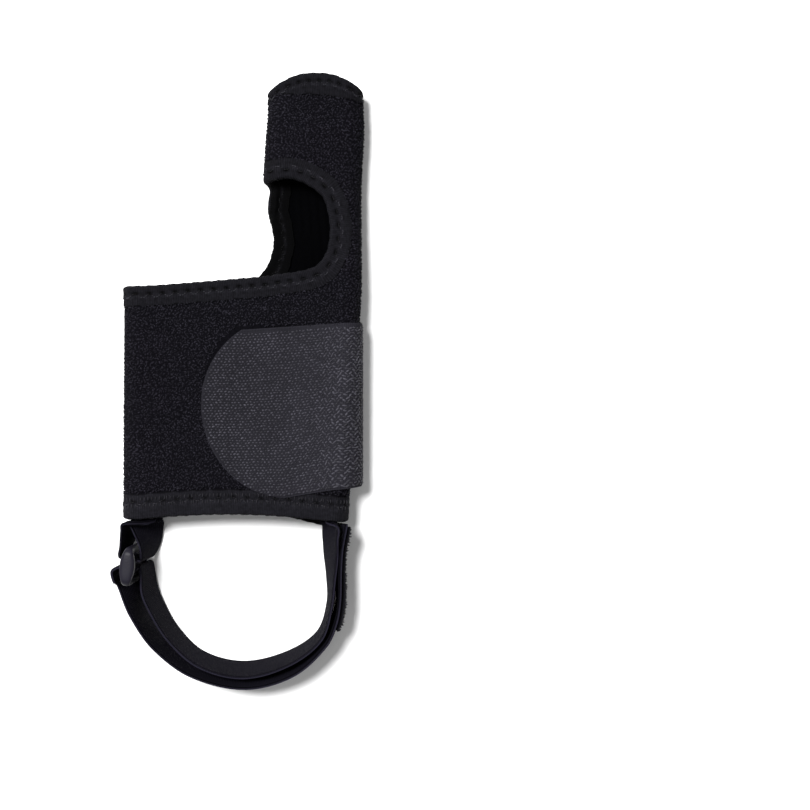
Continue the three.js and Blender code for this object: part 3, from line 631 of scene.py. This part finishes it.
def sleeve():
    """The plush's ground and its lining, less the toes' opening."""
    stations = around(foot_length / 2, 1.6)
    marks = np.concatenate([
        np.linspace(0, foot_length, foot_rows, endpoint=False),
        np.linspace(foot_length, opening_top, opening_rows, endpoint=False),
        np.linspace(opening_top, toe_end, toe_rows),
    ])
    station, mark = np.meshgrid(stations, marks)
    heel = heel_edge(place_round(station, 0.0 * mark))
    toe = toe_edge(place_round(station, 0 * mark + toe_end)) - toe_end
    by_heel = np.clip(1 - 2 * mark / foot_length, 0, 1)
    by_toe = np.clip((mark - opening_top) / toe_length, 0, 1)
    y = mark + by_heel * heel + by_toe * toe
    u = place_round(station, y)
    lumps = 0.12 * waver(u, 11, 1) * waver(y, 9, 2) + 0.08 * waver(u, 4.3, 3) * waver(y, 3.7, 4)
    puff = ground_puff * bare(u, y, ground_margin)
    outer = on_sleeve(u, y, wall / 2 + ground_rise + puff + lumps)
    inner = on_sleeve(u, y, -wall / 2 + creases(u, y))
    rows, cols = u.shape
    faces = grid_faces(rows, cols, loop_cols=True)
    gone = in_opening(u, y, cut_margin).ravel()
    kept = faces[~gone[faces].any(axis=1)]
    points = np.concatenate([outer.reshape(-1, 3), inner.reshape(-1, 3)])
    both = np.concatenate([kept, (kept + rows * cols)[:, ::-1]])
    second = np.repeat([0, 1], len(kept))
    made = piece("plush_sleeve", points, both, [plush_ground, lining], second=second)
    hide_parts("sleeve")


def creases(u, y):
    """Soft upright creases in the back of the lining, seen through the opening."""
    past_foot, past_opening = foot_length + 5, opening_top + 5
    near = smooth(y, past_foot - 30, past_foot) * (1 - smooth(y, past_opening - 20, past_opening))
    wave = np.sin(2 * math.pi * (u + 0.05 * y) / crease_pitch) ** 2
    return np.where(u < 0, crease_depth * near * wave, 0)


def loops(name, wanted):
    """Short loops of yarn all over the plush."""
    half = half_girth(foot_length / 2)
    count_u = int(2 * half / loop_pitch)
    count_y = int((toe_end + toe_dome) / (loop_pitch * loop_rows))
    i, j = np.meshgrid(np.arange(count_u), np.arange(count_y))
    u = -half + (i + 0.5 * (j % 2) + chance.uniform(-loop_stray, loop_stray, i.shape)) * loop_pitch
    y = ((j + 0.5) * loop_rows + chance.uniform(-loop_stray, loop_stray, i.shape)) * loop_pitch
    turn = chance.uniform(-1.1, 1.1, i.shape) + math.pi / 2 * (chance.random(i.shape) < crosswise)
    long = chance.uniform(0.4, 0.78, i.shape)
    high = chance.uniform(0.25, 0.65, i.shape)
    stout = chance.uniform(0.17, 0.3, i.shape)
    lit = chance.random(i.shape) < lit_loops
    light, dark = chance.uniform(-0.6, -0.15, i.shape), chance.uniform(-0.15, 0.45, i.shape)
    keep = (np.abs(u) <= half_girth(y)) & bare(u, y, -0.5) & wanted(u)
    shade = np.where(lit, light, dark)[keep]
    u, y, turn, long, high, stout = (v[keep, None, None] for v in (u, y, turn, long, high, stout))
    bend = np.array([-1, -0.45, 0.45, 1])[:, None]
    rise = np.array([-0.35, 0.85, 0.85, -0.35])[:, None]
    across = np.array([-1, 0, 1])
    crest = np.array([-0.3, 0.6, -0.3])
    run, wide, lift = long * bend, stout * across, high * rise + stout * crest
    ct, st = np.cos(turn), np.sin(turn)
    height = wall / 2 + loop_rise + lift
    points = on_sleeve(u + run * ct - wide * st, y + run * st + wide * ct, height)
    made = small_forms(name, points, plush, shade)


# Knit tape over the edges

def in_from(edge, distance, offset):
    """Points at a distance in from an edge. Near the outer fold they keep their place from it."""
    u, y, way_round, way_up = edge
    new_y, half = y + distance * way_up, half_girth(y)
    near_outer = smooth(np.abs(u), half - 2 * quarter(y), half - 0.5 * quarter(y))
    moved = u + np.sign(u) * near_outer * (half_girth(new_y) - half)
    free = (y > foot_length + heel_swell) & (y < opening_top)
    return on_sleeve(np.where(free, u, moved) + distance * way_round, new_y, offset)


def dip(along, across, pitch, row, shift):
    """How deep the stitches pull the tape in, along a row."""
    off = (along / pitch + shift + 0.5) % 1 - 0.5
    return np.exp(-((off * pitch / 1.15) ** 2) - ((across - row) / 0.7) ** 2)


def tape(name, node, edge, reach, pitch, seed, first=3.6, second=5.6, rungs=()):
    """
    Tape folded over an edge, which is given by places round and along the sleeve and the way in
    from them. Its zigzag lies between the depths first and second, and rungs between others.
    """
    points = on_sleeve(*edge[:2])
    run = lengths_to(np.vstack([points, points[:1]]))
    pitch = run[-1] / round(run[-1] / pitch)
    leg = np.linspace(0, 1, leg_steps)
    roll = np.linspace(math.pi / 2, -math.pi / 2, roll_steps)[1:-1]

    columns = [column[:, None] for column in edge]
    reach = reach + 0 * columns[0]
    across = np.concatenate([leg[::-1], 0 * roll, leg]) * reach
    depth = across + binding_roll
    side = np.concatenate([0 * leg + 1, np.sin(roll), 0 * leg - 1])
    web = np.concatenate([0 * leg, np.cos(roll), 0 * leg])
    t = run[:-1, None]
    holes = dip(t, depth, pitch, first, 0) + 0.5 * dip(t, depth, pitch, second + 0.5, 0.5)
    roll_width = min(first, second) - 0.6
    swell = tape_puff * np.exp(-(((depth - 0.66 * roll_width) / (0.43 * roll_width)) ** 2))
    puff = swell * (0.7 - 0.3 * np.cos(2 * math.pi * t / pitch))
    raw = smooth(across, reach - raw_width, reach)
    ruck = 0.1 * waver(t + 3 * depth, 7.3, seed)
    lift = puff + ruck - hole_depth * holes - raw_thinning * raw
    proud = binding_roll + 0.22 * waver(t, 5.1, seed + 1)
    waves = 0.35 * waver(t, 8.7, seed + 2) * smooth(across, 2, 8)
    height = leg_outer + np.where(web > 0, 0.05, 1) * lift
    outer = in_from(columns, across + waves - proud * web, side * height)
    within = np.maximum(across + waves - clearance * web, -clearance)
    points, faces = shell(outer, in_from(columns, within, side * leg_inner), loop_rows=True)
    uv = np.stack([t + 0 * depth, np.where(side < 0, -depth, depth)], -1)
    tufts = dip(t, depth, pitch, second - 0.2, 0.35) + dip(t, depth, pitch, second, 0.65)
    # Painted shade on the back layer's tape, over its inner leg and the inner part of its roll,
    # inside the sleeve
    painted_inside_shade = 0.92 * (columns[0] < 0) * (side < 0.3)
    # Painted shade in the stitch holes and a painted shadow line along the raw edge, with the
    # inside shade above; lighter at the tufts of the second row, and lighter all over on the tape
    # with rungs
    dark = 1.3 * holes + 0.8 * raw + painted_inside_shade - 0.7 * tufts - (0.3 if rungs else 0)
    made = piece(name, points, faces, [knit], uv=uv, shade=np.clip(dark, -1, 0.92))
    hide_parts(node)
    rows = np.linspace(first, second + 0.3, 4)
    stitches(name.replace("tape", "stitches"), edge, run, pitch, rows, rungs)


def stitches(name, edge, run, pitch, rows, rungs):
    """Zigzag of three small stitches each way, on both faces of the tape, and rungs."""
    steps = [(k / 6, rows[min(k, 6 - k)]) for k in range(7)]
    bow = np.linspace(0, 1, 5)
    ring_at = np.linspace(0, 2 * math.pi, 6)[:-1]
    order = np.arange(len(edge[0]))
    points, shades, strokes = [], [], []
    for side in (1, -1):
        for k in range(int(round(run[-1] / pitch))):
            for (t0, d0), (t1, d1) in zip(steps[:-1], steps[1:]):
                down = smooth(((d0 + d1) / 2 - rows[0]) / (rows[3] - rows[0]), 0.2, 0.8)
                # Stitches on the tape's inner face get painted shade; the others are darker at the
                # hole row and lighter towards the last row
                shade = (0.85 if side < 0 else mix(0.75, -0.9, down)) + chance.uniform(-0.35, 0.35)
                strokes.append((side, (k + t0) * pitch, (k + t1) * pitch, d0, d1, 0.0, shade))
    for row, (low, high) in enumerate(rungs):
        for k in range(int(run[-1] / rung_pitch) - 1):
            at = (k + 0.5 * row + chance.uniform(-0.2, 0.2)) * rung_pitch
            off = abs(np.interp(at, run[:-1], edge[0]))
            if not fold_margin <= off <= half_girth(0.0) - fold_margin:
                continue
            end = at + chance.uniform(-0.4, 0.7)
            strokes.append((1, at, end, low, high, rung_proud, chance.uniform(-0.45, 0.35)))
    for side, t0, t1, d0, d1, proud, shade in strokes:
        at = mix(t0, t1, mix(*stitch_span, bow))
        depth = mix(d0, d1, mix(*stitch_span, bow))
        i = np.round(np.interp(at, run[:-1], order)).astype(int)
        height = leg_outer + proud - stitch_sunk + stitch_bow * np.sin(math.pi * bow)
        points.append(in_from([column[i] for column in edge], depth - binding_roll, side * height))
        shades.append(shade)
    centre, shades = np.array(points), np.array(shades)
    ahead = centre[:, -1] - centre[:, 0]
    keep = np.linalg.norm(ahead, axis=1) < 2.5 * pitch / 3 + (rung_stray if rungs else 0)
    centre, ahead, shades = centre[keep], unit(ahead[keep]), shades[keep]
    up = np.where(np.abs(ahead[:, 2:]) < 0.8, [[0, 0, 1.0]], [[1.0, 0, 0]])
    first = unit(np.cross(ahead, up))
    second = np.cross(ahead, first)
    stout = stitch_radius * np.array([0.5, 0.95, 1, 0.95, 0.5])
    tube = centre[:, :, None] + stout[:, None, None] * (
        np.cos(ring_at)[:, None] * first[:, None, None]
        + np.sin(ring_at)[:, None] * second[:, None, None]
    )
    made = small_forms(name, tube, thread, np.minimum(shades, 0.9), loop_cols=True)


def end_tape(name, node, edge, at_y, way_up, reach_at, pitch, seed, **rows):
    """Tape on an open end: at_y without its curve, and edge(u) with it."""
    stations = around(at_y, 0.8)
    u = place_round(stations, at_y)
    y, reach = edge(u), (reach_at(u) + 0 * u)[:, None]
    line = place_round(stations, y), y, 0 * u, way_up + 0 * u
    tape(name, node, line, reach, pitch, seed, **rows)


def toe_reach(u):
    share = share_across(u, toe_end)
    raw_edge = toe_end - binding_width * (mix(0.22, 0.55, share) - 0.17 * np.sin(math.pi * share))
    return toe_edge(u) - raw_edge


# Hook-tape flap

flap_top, flap_bottom = flap_middle + flap_width / 2, flap_middle - flap_width / 2
corner_top, round_bottom = flap_top - flap_width * 0.05, flap_bottom - flap_width * 0.0735
flap_centre = flap_radius - flap_reach
corner_angle = math.asin(min((corner_top - flap_middle) / flap_radius, 1))
corner_x = flap_centre - flap_radius * math.cos(corner_angle)
flap_turn = quarter(flap_middle)
flap_start = -(flap_turn + flap_back_reach)


def flap_tip(share):
    """Where the flap's round end lies round the sleeve, at a share of its width."""
    tip_y = mix(round_bottom, corner_top, share)
    radius = np.where(tip_y < flap_middle, flap_middle - round_bottom, flap_radius)
    angle = np.arcsin(np.clip((tip_y - flap_middle) / radius, -1, 1))
    return round_to(flap_centre - flap_radius * np.cos(angle), tip_y)


def on_flap(u, share, offset):
    """Points over the flap, u round the sleeve and at a share of the flap's width."""
    over = on_sleeve(u, flap_middle)[..., 0]
    low = mix(flap_bottom, round_bottom, np.clip(over / flap_centre, 0, 1))
    high = mix(flap_top, corner_top, np.clip(over / corner_x, 0, 1))
    y = mix(np.where(u < 0, flap_bottom, low), np.where(u < 0, flap_top, high), share)
    binding_top = binding_width + heel_swell
    near = 1 - smooth(y, binding_top, binding_top + flap_width / 6)
    lift = np.where(u > 0, binding_proud * near * smooth(u, 0, flap_turn), 0)
    point = on_sleeve(u, y, offset + lift)
    bow = np.cos(math.pi / 2 * np.clip(u / (1.4 * flap_turn), -1, 1)) ** 2
    point[..., 0] -= inner_fold(y) * bow
    return point


def under_flap(u, y):
    share = (y - flap_bottom) / flap_width
    covered = (share > 0.01) & (share < 0.97)
    return covered & (u > flap_start + 0.5) & (u < flap_tip(np.clip(share, 0, 1)) - 0.5)


def bare(u, y, margin):
    """Where the plush shows, clear of the tapes by a margin, and of the flap."""
    past_heel = y > heel_edge(u) + heel_reach + margin - 0.4
    shown = past_heel & (y < toe_edge(u) - toe_reach(u) - margin)
    return shown & ~in_opening(u, y, web_reach + margin) & ~under_flap(u, y)


def flap():
    """The flap: from its sewn end on the back round the fold to its round end."""
    angle = np.linspace(-math.pi / 2, corner_angle, flap_rows)
    radius = np.where(angle < 0, flap_middle - round_bottom, flap_radius)
    share = (flap_middle + radius * np.sin(angle) - round_bottom) / (corner_top - round_bottom)
    tip = flap_tip(share)
    back = np.linspace(flap_start, -flap_turn, fold_rows, endpoint=False)
    fold = np.linspace(-flap_turn, flap_turn, fold_rows, endpoint=False)
    over = np.linspace(0, 1, 60)
    u = np.stack([np.concatenate([back, fold, mix(flap_turn, t, over)]) for t in tip])
    s = share[:, None] + 0 * u
    half = wall / 2 + clearance
    from_edge = np.minimum(np.minimum(s, 1 - s) * flap_width, np.maximum(tip[:, None] - u, 0))
    field = smooth(from_edge, 0.6, 1.0)
    rim = 1 - smooth(from_edge, 0, 0.5)
    wave = 0.12 * waver(u, 23, 5) * waver(s * flap_width, 31, 6)
    outer = on_flap(u, s, half + flap_thickness - 0.1 - 0.2 * (1 - field) - 0.25 * rim + wave)
    inner = on_flap(u, s, half + 0.1 * rim + wave)
    points, faces = shell(outer, inner)
    uv = np.stack([u, s * flap_width], -1)
    shade = 0.1 * (1 - field) - 0.9 * rim + 0.42 * smooth(u, 8, 74) - 0.18
    made = piece("flap", points, faces, [hook_ground], uv=uv, shade=shade)
    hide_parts("closure_flap")


def knobs(name, material, u, v, turn, long, stout, high, place):
    """Small raised ovals at places of a surface: each long along its turn."""
    step = np.linspace(0, 2 * math.pi, 7)[:-1]
    rings = [(1.0, -0.15), (0.7, 0.65), (0.0, 1.0)]
    points = []
    for size, lift in rings:
        a = long[:, None] * size * np.cos(step)
        b = stout[:, None] * size * np.sin(step)
        du = a * np.cos(turn)[:, None] - b * np.sin(turn)[:, None]
        dv = a * np.sin(turn)[:, None] + b * np.cos(turn)[:, None]
        points.append(place(u[:, None] + du, v[:, None] + dv, high[:, None] * lift + 0 * du))
    shade = chance.uniform(-0.4, 0.5, u.shape)
    return small_forms(name, np.stack(points, 1), material, shade, loop_cols=True)


def flap_hooks():
    """Woven hooks: in a chevron near the fold, in rows towards the round end."""
    rows = int((flap_width - 2 * hook_margin) / hook_pitch_up)
    cols = int((flap_reach + 2 * flap_turn + flap_back_reach) / hook_pitch_round) + 4
    j, i = np.meshgrid(np.arange(rows), np.arange(cols), indexing="ij")
    u = flap_start + first_hook[0] + (i + 0.5 * (j % 2)) * hook_pitch_round
    v = first_hook[1] + j * hook_pitch_up
    keep = u < flap_tip(v / flap_width) - hook_margin
    u, v, i = u[keep], v[keep], i[keep]
    u = u + chance.uniform(-0.28, 0.28, i.shape)
    v = v + chance.uniform(-0.2, 0.2, i.shape)
    chevron = smooth(-u, -34, -12)
    lean = chevron * np.where(i % 2 == 0, 0.75, -0.75)
    turn = lean + chance.uniform(-0.45, 0.45, u.shape)
    long = chance.uniform(0.44, 0.74, u.shape) * mix(1, 1.35, chevron)
    stout = chance.uniform(0.3, 0.46, u.shape)
    high = chance.uniform(0.22, 0.4, u.shape)
    base = wall / 2 + clearance + flap_thickness - hook_root
    place = lambda a, b, lift: on_flap(a, b / flap_width, base + lift)
    made = knobs("flap_hooks", hook_tuft, u, v, turn, long, stout, high, place)


# Webbing

standing = strap_thickness * 0.14
slot_half = ring_width / 2 - ring_stock
ring_centre = np.array([
    ring_place[0] * foot_width,
    ring_place[1] * heel_drop,
    (ring_height * math.cos(ring_lean) + ring_depth * math.sin(ring_lean)) / 2,
])
ring_along = np.array([math.cos(ring_heading), math.sin(ring_heading), 0])
ring_out = np.array([ring_along[1], -ring_along[0], 0])
ring_rise = ring_out * math.sin(ring_lean) + np.array([0, 0, math.cos(ring_lean)])


def strap_rows(rows):
    """A table's rows in millimetres, with the shares of the width that the slopes lie over."""
    return [
        (x * foot_width, y * heel_drop, z * strap_width + standing, out, low, (*high, low)[0], 0, 1)
        for x, y, z, out, low, *high in rows
    ]


def curled_end(fold_inside, radius, sign, lead):
    """Rows of a web's end, sewn in and curled inside a fold: flat for the lead, then round."""
    reach = min(lead + math.pi * radius / strap_width, 1)
    x, z = fold_inside - sign * (radius + lead * strap_width), centre_height(0.0) - radius
    depths = (binding_width * 1.35, binding_width * 0.45, -2 * binding_roll)
    return [(x, y, z, 0 if sign > 0 else 180, 0, 180, lead, reach) for y in depths]


def ring_row(along, off, out):
    """A row at the ring, along it and off its middle, that leans with it."""
    x, y, z = ring_centre + ring_along * along + ring_out * off - ring_rise * strap_width / 2
    slope = 90 - math.degrees(ring_lean)
    return (x, y, z, out, slope, slope, 0, 1)


curl_room = foot_height / 2 - wall - binding_proud - clearance
strap_curl, tab_curl = curl_room - strap_thickness / 2, curl_room - tab_thickness / 2
tab_inner_curl = tab_curl - tab_thickness - clearance
inset = wall + binding_proud + clearance
inner_inside = inner_fold(0.0) - inset - strap_thickness / 2
outer_inside = outer_fold(0.0) + inset + tab_thickness / 2
heading_out = math.degrees(ring_heading) - 90

heel_strap_rows = [
    *curled_end(inner_inside, strap_curl, 1, 1 - math.pi * strap_curl / strap_width),
    *strap_rows(strap_inner),
    *[ring_row(t * slot_half, off * (ring_depth / 2 + clearance + strap_thickness / 2), heading_out)
      for t, off in strap_through_ring],
    *strap_rows(strap_outer),
]


def tab_rows():
    """The tab's whole way: out of the outer fold, through the ring and back in."""
    inner = curled_end(outer_inside + tab_thickness + clearance, tab_inner_curl, -1, 0.325)
    outer = curled_end(outer_inside, tab_curl, -1, 0)
    beside = tab_thickness / 2 + 2 * clearance
    face = ring_depth / 2 + beside
    threading = [ring_row(towards * (beside - slot_half), off * face, heading_out + 360)
                 for towards, off in tab_through_ring]
    return [*inner, *strap_rows(tab_to_ring), *threading, *strap_rows(tab_from_ring), *outer[::-1]]


def web_surface(rows, width, length=math.inf, trim=0.0, across=24, step=0.9):
    """Webbing's middle surface through a table: places along it, a grid, its normals."""
    rows = np.array(rows, float)
    run = lengths_to(rows[:, :3])
    end = run[-1] - trim
    begin = max(0, end - length)
    at = np.linspace(begin, end, int((end - begin) / step) + 2)
    x, y, z, out, low, high, start, stop = (read(run, column, at) for column in rows.T)
    heading = np.radians(out)
    outwards = np.stack([np.cos(heading), np.sin(heading), 0 * at], -1)
    place = np.stack([x, y, np.maximum(z, standing)], -1)
    margin = (strap_width - width) / 2
    lines, walked, parts = [], 0.0, 4
    for target in margin + width * np.linspace(0, 1, across + 1):
        distance = (target - walked) / parts
        for _ in range(parts):
            share = (walked + distance / 2) / strap_width
            slope = np.radians(mix(low, high, np.clip((share - start) / (stop - start), 0, 1)))
            place = place + outwards * (np.cos(slope) * distance)[:, None]
            place[:, 2] += np.sin(slope) * distance
            walked += distance
        lines.append(place.copy())
        walked = target
    grid = np.stack(lines, 1)
    return at, grid, unit(np.cross(np.gradient(grid, axis=0), np.gradient(grid, axis=1)))


def webbing(name, node, slot_name, rows, thickness, material, width=strap_width, shift=0.0,
            edge_highlight=-0.8, no_highlight_end=0.0, **cut):
    """Webbing with a painted highlight along its thin edges, left off for a length at its far end.
    """
    at, grid, normal = web_surface(rows, width, **cut)
    across = np.linspace(0, width, grid.shape[1]) + 0 * at[:, None]
    from_edge = np.minimum(across, width - across)
    half = thickness / 2 * (1 - 0.45 * (1 - smooth(from_edge, 0, 0.9)) ** 2)
    ends = np.minimum(at - at[0], at[-1] - at)[:, None]
    half = half * (1 - 0.3 * (1 - smooth(ends, 0, 0.8)))
    outer = grid + normal * (shift + half)[..., None]
    inner = grid + normal * (shift - half)[..., None]
    points, faces = shell(outer, inner)
    uv = np.stack([at[:, None] + 0 * across, across], -1)
    # Painted highlight along both thin edges, as if they catch the light
    shade = edge_highlight * (1 - smooth(from_edge, 0.35, 0.8))
    # The painted highlight is left off over a length at the far end
    if no_highlight_end:
        shade = shade * smooth(at[-1] - at, no_highlight_end, no_highlight_end + highlight_fade)[:, None]
    made = piece(name, points, faces, [material], uv=uv, shade=shade)
    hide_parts(node)


def patch_hooks():
    """Rough hooks of the patch at the strap's end."""
    shift = strap_thickness / 2 + clearance + patch_thickness - hook_root
    at, grid, normal = web_surface(heel_strap_rows, patch_width, length=patch_length, trim=1)
    rows, cols = grid.shape[:2]

    def place(a, b, lift):
        i = np.clip(a / (at[-1] - at[0]) * (rows - 1), 0, rows - 1.001)
        j = np.clip(b / patch_width * (cols - 1), 0, cols - 1.001)
        i0, j0 = i.astype(int), j.astype(int)
        fi, fj = (i - i0)[..., None], (j - j0)[..., None]
        height = (shift + lift)[..., None]
        at_corner = lambda i, j: grid[i, j] + normal[i, j] * height
        near, far = (mix(at_corner(k, j0), at_corner(k, j0 + 1), fj) for k in (i0, i0 + 1))
        return mix(near, far, fi)

    pitch = patch_hook_pitch
    along = np.arange(int((at[-1] - at[0]) / pitch))
    i, j = np.meshgrid(along, np.arange(int(patch_width / pitch)))
    u = ((i + 0.5 * (j % 2)) * pitch + chance.uniform(-0.25, 0.25, i.shape) + 0.6).ravel()
    v = ((j + 0.5) * pitch + chance.uniform(-0.25, 0.25, i.shape)).ravel()
    size = u.shape
    turn, long = chance.uniform(-0.6, 0.6, size), chance.uniform(0.34, 0.56, size)
    stout, high = chance.uniform(0.22, 0.34, size), chance.uniform(0.5, 1.4, size)
    made = knobs("patch_hooks", patch_tuft, u, v, turn, long, stout, high, place)


def closer(line, parts):
    """A closed line with each of its steps cut in parts."""
    ahead = np.roll(line, -1, axis=0)
    return np.stack([mix(line, ahead, k / parts) for k in range(parts)], 1).reshape(-1, 2)


def ring():
    """A moulded frame: a section carried round a rectangle with round corners."""
    corner = ring_corner - ring_stock / 2
    w, h = (ring_width - ring_stock) / 2, (ring_height - ring_stock) / 2
    line, facing = [], []
    for start, centre in enumerate(np.array([(w, h), (-w, h), (-w, -h), (w, -h)])):
        for k in range(9):
            a = math.pi / 2 * (start + k / 8)
            facing.append(np.array([math.cos(a), math.sin(a)]))
            line.append(centre + corner * (facing[-1] - np.sign(centre)))
    line, facing = (closer(np.array(v), 4) for v in (line, facing))
    bend = np.linspace(0, 2 * math.pi, 33)[:-1]
    boxy = lambda wave: np.sign(wave) * np.abs(wave) ** 0.62
    across, deep = ring_stock / 2 * boxy(np.cos(bend)), ring_depth / 2 * boxy(np.sin(bend))
    slim = 1.12 - 0.55 * (np.abs(line[:, 0]) / w) ** 2.6
    flat = line[:, None] + facing[:, None] * across[:, None]
    facing_out = np.cross(ring_along, ring_rise)
    points = ring_centre + flat[..., :1] * ring_along + flat[..., 1:] * ring_rise
    points = points + (slim[:, None] * deep)[..., None] * facing_out
    made = piece("ring", points, grid_faces(len(line), len(bend), True, True), [plastic()])
    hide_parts("strap_ring")


sleeve()
loops("plush_front", lambda u: u >= 0)
loops("plush_back", lambda u: u < 0)
end_tape("toe_tape", "toe_end_binding", toe_edge, toe_end, -1, toe_reach, 4.6, 11)
end_tape("heel_tape", "heel_edge_binding", heel_edge, 0.0, 1, lambda u: heel_reach - binding_roll,
         6.1, 12, first=7.9, second=6.0, rungs=[(4.9, 7.4), (7.6, 10.2)])
tape("web_tape", "toe_web_binding", web_edge, web_reach, 5.6, 13)
flap()
flap_hooks()
webbing("strap", "heel_strap", "elastic", heel_strap_rows, strap_thickness, elastic)
webbing("hook_patch", "strap_end_patch", "hook_patch", heel_strap_rows, patch_thickness,
        patch_ground, width=patch_width, edge_highlight=0.0, length=patch_length, trim=1,
        shift=(strap_thickness + patch_thickness) / 2 + clearance)
patch_hooks()
webbing("tab", "ring_tab", "elastic", tab_rows(), tab_thickness, elastic, no_highlight_end=38)
ring()


# Floor, light and camera

mesh = bpy.data.meshes.new("floor")
half, white = 4, (0.88, 0.88, 0.88, 1)
square = [(-half, -half, 0), (half, -half, 0), (half, half, 0), (-half, half, 0)]
mesh.from_pydata(square, [], [(0, 1, 2, 3)])
paint, *_ = new_material("floor", Base_Color=white, Roughness=1, Specular_IOR_Level=0)
mesh.materials.append(paint)
obj = add_object("floor", mesh)
obj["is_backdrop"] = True

data = bpy.data.lights.new("key", "AREA")
data.shape, data.size, data.energy = "DISK", 0.55, 62
key = add_object("key", data)
key.location = (-0.62, 0.45, 1.5)
key.rotation_mode = "QUATERNION"
key.rotation_quaternion = key.location.to_track_quat("Z", "Y")

world = bpy.data.worlds.new("studio")
world.use_nodes = True
sky = world.node_tree.nodes["Background"].inputs
sky["Color"].default_value, sky["Strength"].default_value = (1, 1, 1, 1), 0.42
bpy.context.scene.world = world
bpy.context.scene.view_settings.view_transform = "Standard"

# The camera looks straight down from over the sleeve, and the frame lies to its right
camera_height, over_x, over_y = 650, -53.2, 58.1
frame_pixels, focal_pixels, off_right, off_down = 810, 1436, 165, 20
data = bpy.data.cameras.new("camera")
data.sensor_width = 36
data.lens = data.sensor_width * focal_pixels / frame_pixels
data.shift_x, data.shift_y = off_right / frame_pixels, -off_down / frame_pixels
camera = add_object("camera", data)
camera.location = (np.array([over_x, over_y, camera_height]) + to_frame) * METRES
bpy.context.scene.camera = camera

({
    "cad": [list(corner) for corner in cad_box],
    "visual": [list(corner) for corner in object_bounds()],
})
